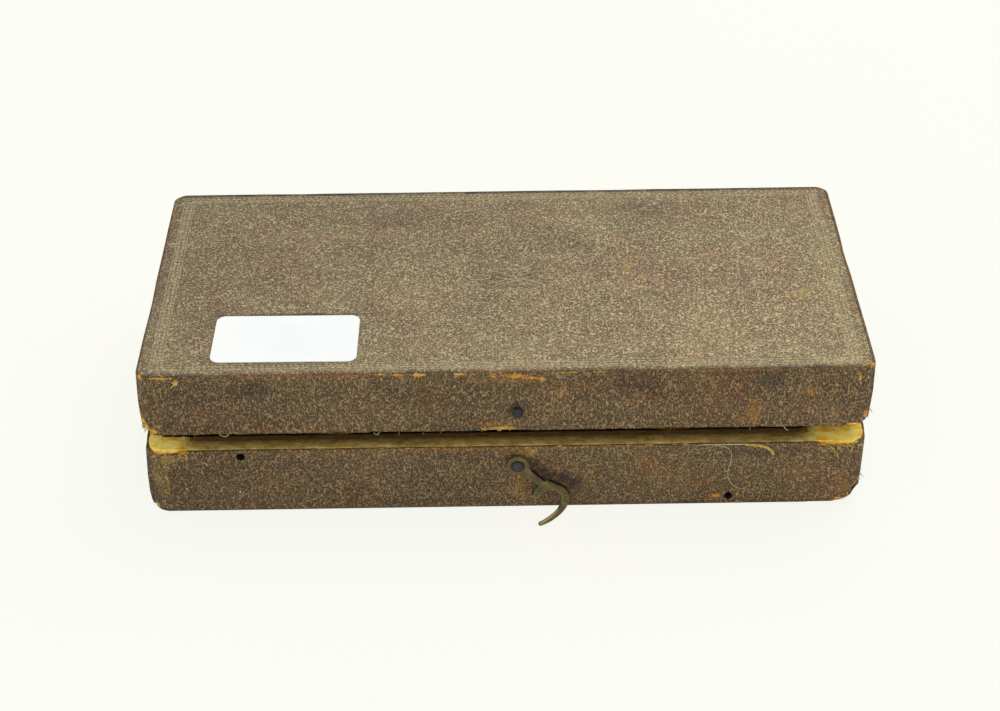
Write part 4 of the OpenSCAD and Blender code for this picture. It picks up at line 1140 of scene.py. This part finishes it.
for name in ("weight_largest", "weight_large", "weight_small", "weight_smallest"):
    turned_weight(name)


# The padded silk in the lid, sewn down at its edge and at its buttons

PAD = {"half": (90.75, 41.25), "top": 37.1, "thick": 3.0, "crown": 0.9, "cells": (72, 33), "puff": 1.3, "swell": 1.6}
BUTTONS = [(x, y) for x in (-70.6, -35.3, 0, 35.3, 70.6) for y in (-15, 15)]
SIM_SCALE, SIM_FRAMES = 10, 20


def pad_grid():
    """A closed flat pad: free face below, glued face above, with the points that are sewn down."""
    u, v = np.meshgrid(*(np.linspace(-1, 1, count + 1) for count in PAD["cells"]), indexing="ij")
    x, y = (u * PAD["half"][0]).ravel(), (v * PAD["half"][1]).ravel()
    swell = ((1 - u**4) * (1 - v**4)).ravel()
    z = PAD["top"] - PAD["thick"] - PAD["crown"] * swell
    sewn = (np.abs(u).ravel() > 0.999) | (np.abs(v).ravel() > 0.999)
    for bx, by in BUTTONS:
        away = np.hypot(x - bx, y - by)
        z += 2.0 * np.exp(-((away / 4.0) ** 2))
        sewn |= away == away.min()
    points, faces = slab(x, y, z, PAD["top"], PAD["cells"], False)
    return points, faces, np.concatenate([sewn, np.ones(len(x), bool)])


def blown_out(points, faces, sewn):
    """The free points blown out by the stuffing, in a cloth simulation at a larger scale."""
    holder = unit_object("pad", points * SIM_SCALE, faces)
    group = holder.vertex_groups.new(name="sewn")
    group.add([int(k) for k in np.flatnonzero(sewn)], 1.0, "REPLACE")
    cloth = holder.modifiers.new("stuffing", "CLOTH")
    silk_set = cloth.settings
    silk_set.quality, silk_set.mass = 6, 0.3
    silk_set.tension_stiffness = silk_set.compression_stiffness = 14
    silk_set.shear_stiffness, silk_set.bending_stiffness = 6, 0.4
    silk_set.use_pressure, silk_set.uniform_pressure_force = True, 4
    silk_set.vertex_group_mass, silk_set.shrink_min = "sewn", -0.07
    silk_set.effector_weights.gravity = 0
    cloth.point_cache.frame_start, cloth.point_cache.frame_end = 1, SIM_FRAMES
    for moment in range(1, SIM_FRAMES + 1):
        bpy.context.scene.frame_set(moment)
    mesh = plain_mesh(holder)
    bpy.context.scene.frame_set(1)
    return places_of(mesh) / SIM_SCALE


def silk_pad():
    points, faces, sewn = pad_grid()
    blown = blown_out(points, faces, sewn)
    away = np.clip(blown - points, -PAD["puff"], PAD["puff"])
    points = points + np.where(np.isfinite(away), away, 0) * ~sewn[:, None]
    points[:, 2] = np.clip(points[:, 2], PAD["top"] - PAD["thick"] - PAD["swell"], PAD["top"])
    holder = unit_object("pad", points, faces)
    finer = holder.modifiers.new("finer", "SUBSURF")
    finer.levels = finer.render_levels = 1
    mesh = plain_mesh(holder)
    mesh.materials.clear()
    made = settle("silk_lining", mesh, "lid", [SILK], LID_POSE)
    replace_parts(made, "lid_lining")


silk_pad()
BUTTON = {"level": 36.3, "profile": [(1.7, 0), (1.75, -0.25), (1.5, -0.55), (1.0, -0.8), (0.5, -0.9)]}
PIPING = {"level": 34.2, "out": 0.15, "corner": 1.4, "half": 0.42}
points, faces = lathe(BUTTON["profile"], 24)
joined("silk_buttons", [mesh_of("button", [(bx + x, by + y, BUTTON["level"] + z) for x, y, z in points], faces)
                        for bx, by in BUTTONS], "lid", [SILK], LID_POSE)
a, b, r = PAD["half"][0] + PIPING["out"], PAD["half"][1] + PIPING["out"], PIPING["corner"]
turns = [(a - r + r * cos(t), b - r + r * sin(t)) for t in np.linspace(0, pi / 2, 7)]
edge_path = [(way_x * x, way_y * y, PIPING["level"]) for way_x, way_y in ((1, 1), (-1, 1), (-1, -1), (1, -1))
             for x, y in turns[::way_x * way_y]]
joined("silk_piping", [mesh_of("piping", *strand(edge_path, PIPING["half"], PIPING["half"], (0, 0, -1), True))],
       "lid", [SILK], LID_POSE)


# Loose strands, frayed threads and torn board

def laid_strands(name, paths, half_width, half_thick, finish, body="base", pose=REST):
    meshes = [mesh_of(name, *strand(smooth_path(path, 6), half_width, half_thick)) for path in paths]
    return joined(name, meshes, body, [finish], pose)


laid_strands("flat_strand", [[(63.0, -45.98, 21.4), (65.8, -46.2, 21.45), (68.4, -46.6, 21.1), (70.1, -46.5, 19.6),
                              (70.8, -46.2, 17.9)]], 0.46, 0.09, YELLOW_THREAD)
laid_strands("curved_strand", [[(50.5, -45.9, 21.6), (54, -45.98, 21.72), (58, -46.02, 21.74), (62, -45.98, 21.7),
                                (65.2, -45.95, 21.6)]], 0.22, 0.06, PALE_THREAD)
laid_strands("thin_strands", [[(84.8, -45.6, 21.2), (86.3, -46.3, 20.0), (87.5, -46.4, 18.1), (88.3, -46.1, 15.8)],
                              [(-85.2, -45.7, 21.4), (-84.2, -46.2, 20.4), (-84.8, -46.2, 19.2)],
                              [(90.2, -45.7, 21.0), (91.4, -46.2, 20.2), (91.2, -46.1, 18.9)]], 0.17, 0.13,
             YELLOW_THREAD)
laid_strands("pale_thread_on_front", [
    [(54.6, -46.0, 21.6), (56.3, -46.1, 21.3), (58.4, -46.1, 20.6), (59.5, -46.1, 18.9), (59.6, -46.1, 16.3),
     (59.0, -46.1, 12.5), (59.5, -46.1, 9.2), (61.2, -46.1, 6.9), (63.2, -46.1, 6.2), (65.0, -46.1, 7.2)],
    [(57.8, -46.1, 9.4), (58.9, -46.1, 10.2), (59.8, -46.1, 9.2)]], 0.13, 0.1, PALE_THREAD)
laid_strands("lid_thread_bits", [
    [(-6.2, -46.0, 33.8), (-5.0, -46.1, 34.3), (-4.2, -46.0, 33.9)],
    [(-75.2, -46.0, 22.6), (-73.6, -46.2, 22.0), (-72.4, -46.0, 22.7)],
    [(-34.8, -46.0, 22.5), (-33.8, -46.2, 21.9), (-33.2, -46.0, 22.6)],
    [(72.6, -46.0, 23.0), (73.2, -46.3, 22.0), (74.0, -46.1, 21.3)]], 0.11, 0.08, PALE_THREAD, "lid", LID_POSE)


def fringe(name, patches, density, unit, seed, finish, body, pose=REST):
    """Short frayed fibres on patches; each patch is four corners, in millimetres."""
    corners = [corner for patch in patches for corner in patch]
    source = mesh_of(name, corners, [(4 * k, 4 * k + 1, 4 * k + 2, 4 * k + 3) for k in range(len(patches))])
    mesh = grow(name, source, SCATTER, {
        "Density": density / MM**2, "Unit": unit, "Jitter": (0.5, 0.5, pi), "Least": 0.5, "Most": 1.2, "Seed": seed,
        "Finish": finish})
    return settle(name, mesh, body, [finish], pose)


def front_patch(x0, x1, z0, z1, y=FRONT + 0.1):
    return [(x0, y, z0), (x1, y, z0), (x1, y, z1), (x0, y, z1)]


def end_patch(side, y0, y1, z0, z1):
    x = side * (LID["half"][0] - 0.4)
    corners = [(x, y0, z0), (x, y1, z0), (x, y1, z1), (x, y0, z1)]
    return corners if side > 0 else corners[::-1]


hair = unit_object("hair", *fibre_unit(1.7, 0.07, 0.5))
shred = unit_object("shred", *fibre_unit(1.3, 0.13, 0.35))
wisp = unit_object("wisp", *fibre_unit(0.9, 0.06, 0.3))


# Board behind the rim: a narrow lip along the tray, torn into fluff at its two ends

LIP = {"front": -41.75, "low": 19.5, "most": 22.1}


def lip(name, x0, x1, deep, high, seed, torn):
    """A low mound of board on the tray, closed all round, with a rough top; a torn one is rougher."""
    cell, lump, slope, unevenness = (0.5, 1.4, 1.1, 0.3) if torn else (1.2, 5, 0.5, 0.06)
    cells, low = (int((x1 - x0) / cell), 9), LIP["low"]
    u, v = np.meshgrid(*(np.linspace(0, 1, count + 1) for count in cells), indexing="ij")
    x, y = (x0 + (x1 - x0) * u).ravel(), (LIP["front"] + deep * v).ravel()
    rough = rough_lumps(np.stack([x, y, x * 0], axis=1), lump, seed)
    edge = np.minimum(np.minimum(u, 1 - u) * (x1 - x0), (1 - v) * deep * 1.6).ravel()
    top = low + (high - low) * np.sqrt(np.clip(edge / slope, 0, 1)) + unevenness * (rough - 1)
    points, faces = slab(x, y, np.clip(top, low + 0.02, LIP["most"]), low, cells, True)
    settle(name, mesh_of(name, points, faces), "base", [BOARD])


lip("tray_lip", -84.2, 80.8, 2.6, 21.75, 91, False)
lip("torn_board_left", -93.2, -82.6, 2.8, 22.05, 92, True)
lip("torn_board_right", 79.2, 93.2, 3.8, 22.05, 93, True)
FRAYED = ((-85, -77.5), (-68.2, -37), (-31, -18), (24, 70.5), (76, 83))
fringe("base_rim_fibres", [front_patch(-94, -85, 20.0, 20.8, -45.4), front_patch(83.5, 94, 20.0, 20.8, -45.4)],
       3.0, shred, 5, STRAW_FIBRE, "base")
fringe("base_frayed_edge", [front_patch(x0, x1, 20.1, 20.5, -45.7) for x0, x1 in FRAYED], 1.0, hair, 6,
       YELLOW_THREAD, "base")
fringe("base_corner_tuft", [front_patch(91.6, 93.6, 4.4, 7.4, -43.2), end_patch(1, -44, -42, 7.0, 9.4)], 2.2, hair, 7,
       PALE_THREAD, "base")
fringe("lid_corner_fibres", [front_patch(-93.8, -90.8, 23.6, 24.8, -45.2), end_patch(-1, -44.6, -42, 22.8, 26)], 2.4,
       shred, 8, STRAW_FIBRE, "lid", LID_POSE)
fringe("lid_right_tuft", [end_patch(1, -45.0, -43.2, 25.2, 27.2)], 2.6, hair, 9, YELLOW_THREAD, "lid", LID_POSE)
fringe("lid_front_shreds", [front_patch(-4.5, 5.5, 39.3, 40.5), front_patch(3, 10, 38.4, 39.4),
                            front_patch(-29, -20, 40.2, 40.7), front_patch(-7, 5.4, 22.9, 23.5),
                            front_patch(-86, -84, 38, 39.6)], 0.9, shred, 10, STRAW_FIBRE, "lid", LID_POSE)
fringe("lid_frayed_edge", [front_patch(-84, 88, 22.35, 22.6)], 0.35, wisp, 12, YELLOW_THREAD, "lid", LID_POSE)


# Camera, floor and light

# Fitted to the photograph: its place in millimetres, its angles in degrees, its lens for a 36 mm sensor
CAMERA = {"place": (-5.004, -448.095, 369.71), "pitch": 38.253, "yaw": 0.503, "roll": -0.504, "lens": 72.58}


def camera():
    data = bpy.data.cameras.new("camera")
    data.lens, data.sensor_width = CAMERA["lens"], 36
    data.clip_start, data.clip_end = 0.02, 20
    pitch, yaw, roll = (radians(CAMERA[key]) for key in ("pitch", "yaw", "roll"))
    ahead = Vector((sin(yaw) * cos(pitch), cos(yaw) * cos(pitch), -sin(pitch)))
    right = Vector((cos(yaw), -sin(yaw), 0))
    up = right.cross(ahead)
    right, up = right * cos(roll) + up * sin(roll), up * cos(roll) - right * sin(roll)
    turn = Matrix((right, up, -ahead)).transposed().to_4x4()
    made = shown("camera", data)
    made.matrix_world = Matrix.Translation(Vector(CAMERA["place"]) * MM) @ turn
    bpy.context.scene.camera = made


def seen_directly(tree):
    seen = put(tree, "LightPath").outputs
    return plus(tree, seen["Is Camera Ray"], plus(tree, seen["Is Glossy Ray"], seen["Is Transmission Ray"]))


def floor():
    """A pale table: part of its white is its own light, so that the shadow on it stays soft and pale."""
    half = 3000
    corners = [(-half, -half, 0), (half, -half, 0), (half, half, 0), (-half, half, 0)]
    made = unit_object("floor", corners, [(0, 1, 2, 3)])
    finish, tree = tree_of("pale_table")
    cloud = noise(tree, 9, 3.0)
    cream = blend(tree, ranged(tree, cloud, 0.4, 0.7), (0.99, 1.0, 0.93, 1), (1.0, 1.0, 0.94, 1))
    shader = finish_with(tree, blend(tree, cloud, (0.86, 0.86, 0.82, 1), (0.9, 0.9, 0.86, 1)), 1.0,
                         Specular_IOR_Level=0.0)
    glow = put(tree, "Emission", {"Color": cream, "Strength": 1.0}).outputs[0]
    mixed = put(tree, "MixShader", {0: times(tree, ranged(tree, seen_directly(tree), 0, 1), 0.87)})
    tree.links.new(shader.outputs[0], mixed.inputs[1])
    tree.links.new(glow, mixed.inputs[2])
    tree.links.new(mixed.outputs[0], tree.nodes["Material Output"].inputs["Surface"])
    made.data.materials.append(finish)


def lamp(name, place, size, watts, colour=(1, 1, 1)):
    data = bpy.data.lights.new(name, "AREA")
    data.shape, data.size, data.energy, data.color = "DISK", size, watts, colour
    made = shown(name, data)
    made.location = place
    made.rotation_euler = (Vector((0, 0, 0.02)) - made.location).to_track_quat("-Z", "Y").to_euler()


def world():
    made = bpy.data.worlds.new("studio")
    made.use_nodes = True
    bpy.context.scene.world = made
    tree = made.node_tree
    background = tree.nodes["Background"]
    background.inputs["Color"].default_value = (1, 0.995, 0.955, 1)
    tree.links.new(ranged(tree, seen_directly(tree), 0, 1, 0.62, 1.0), background.inputs["Strength"])


camera()
floor()
world()
lamp("key", (0.32, 0.35, 0.85), 0.8, 4.0, (1, 0.985, 0.95))
lamp("fill", (-0.3, -1.0, 0.7), 1.0, 2.35, (1, 0.98, 0.95))
bpy.context.scene.view_settings.view_transform = "Standard"

for spare in (bead, hair, shred, wisp):
    bpy.data.objects.remove(spare)
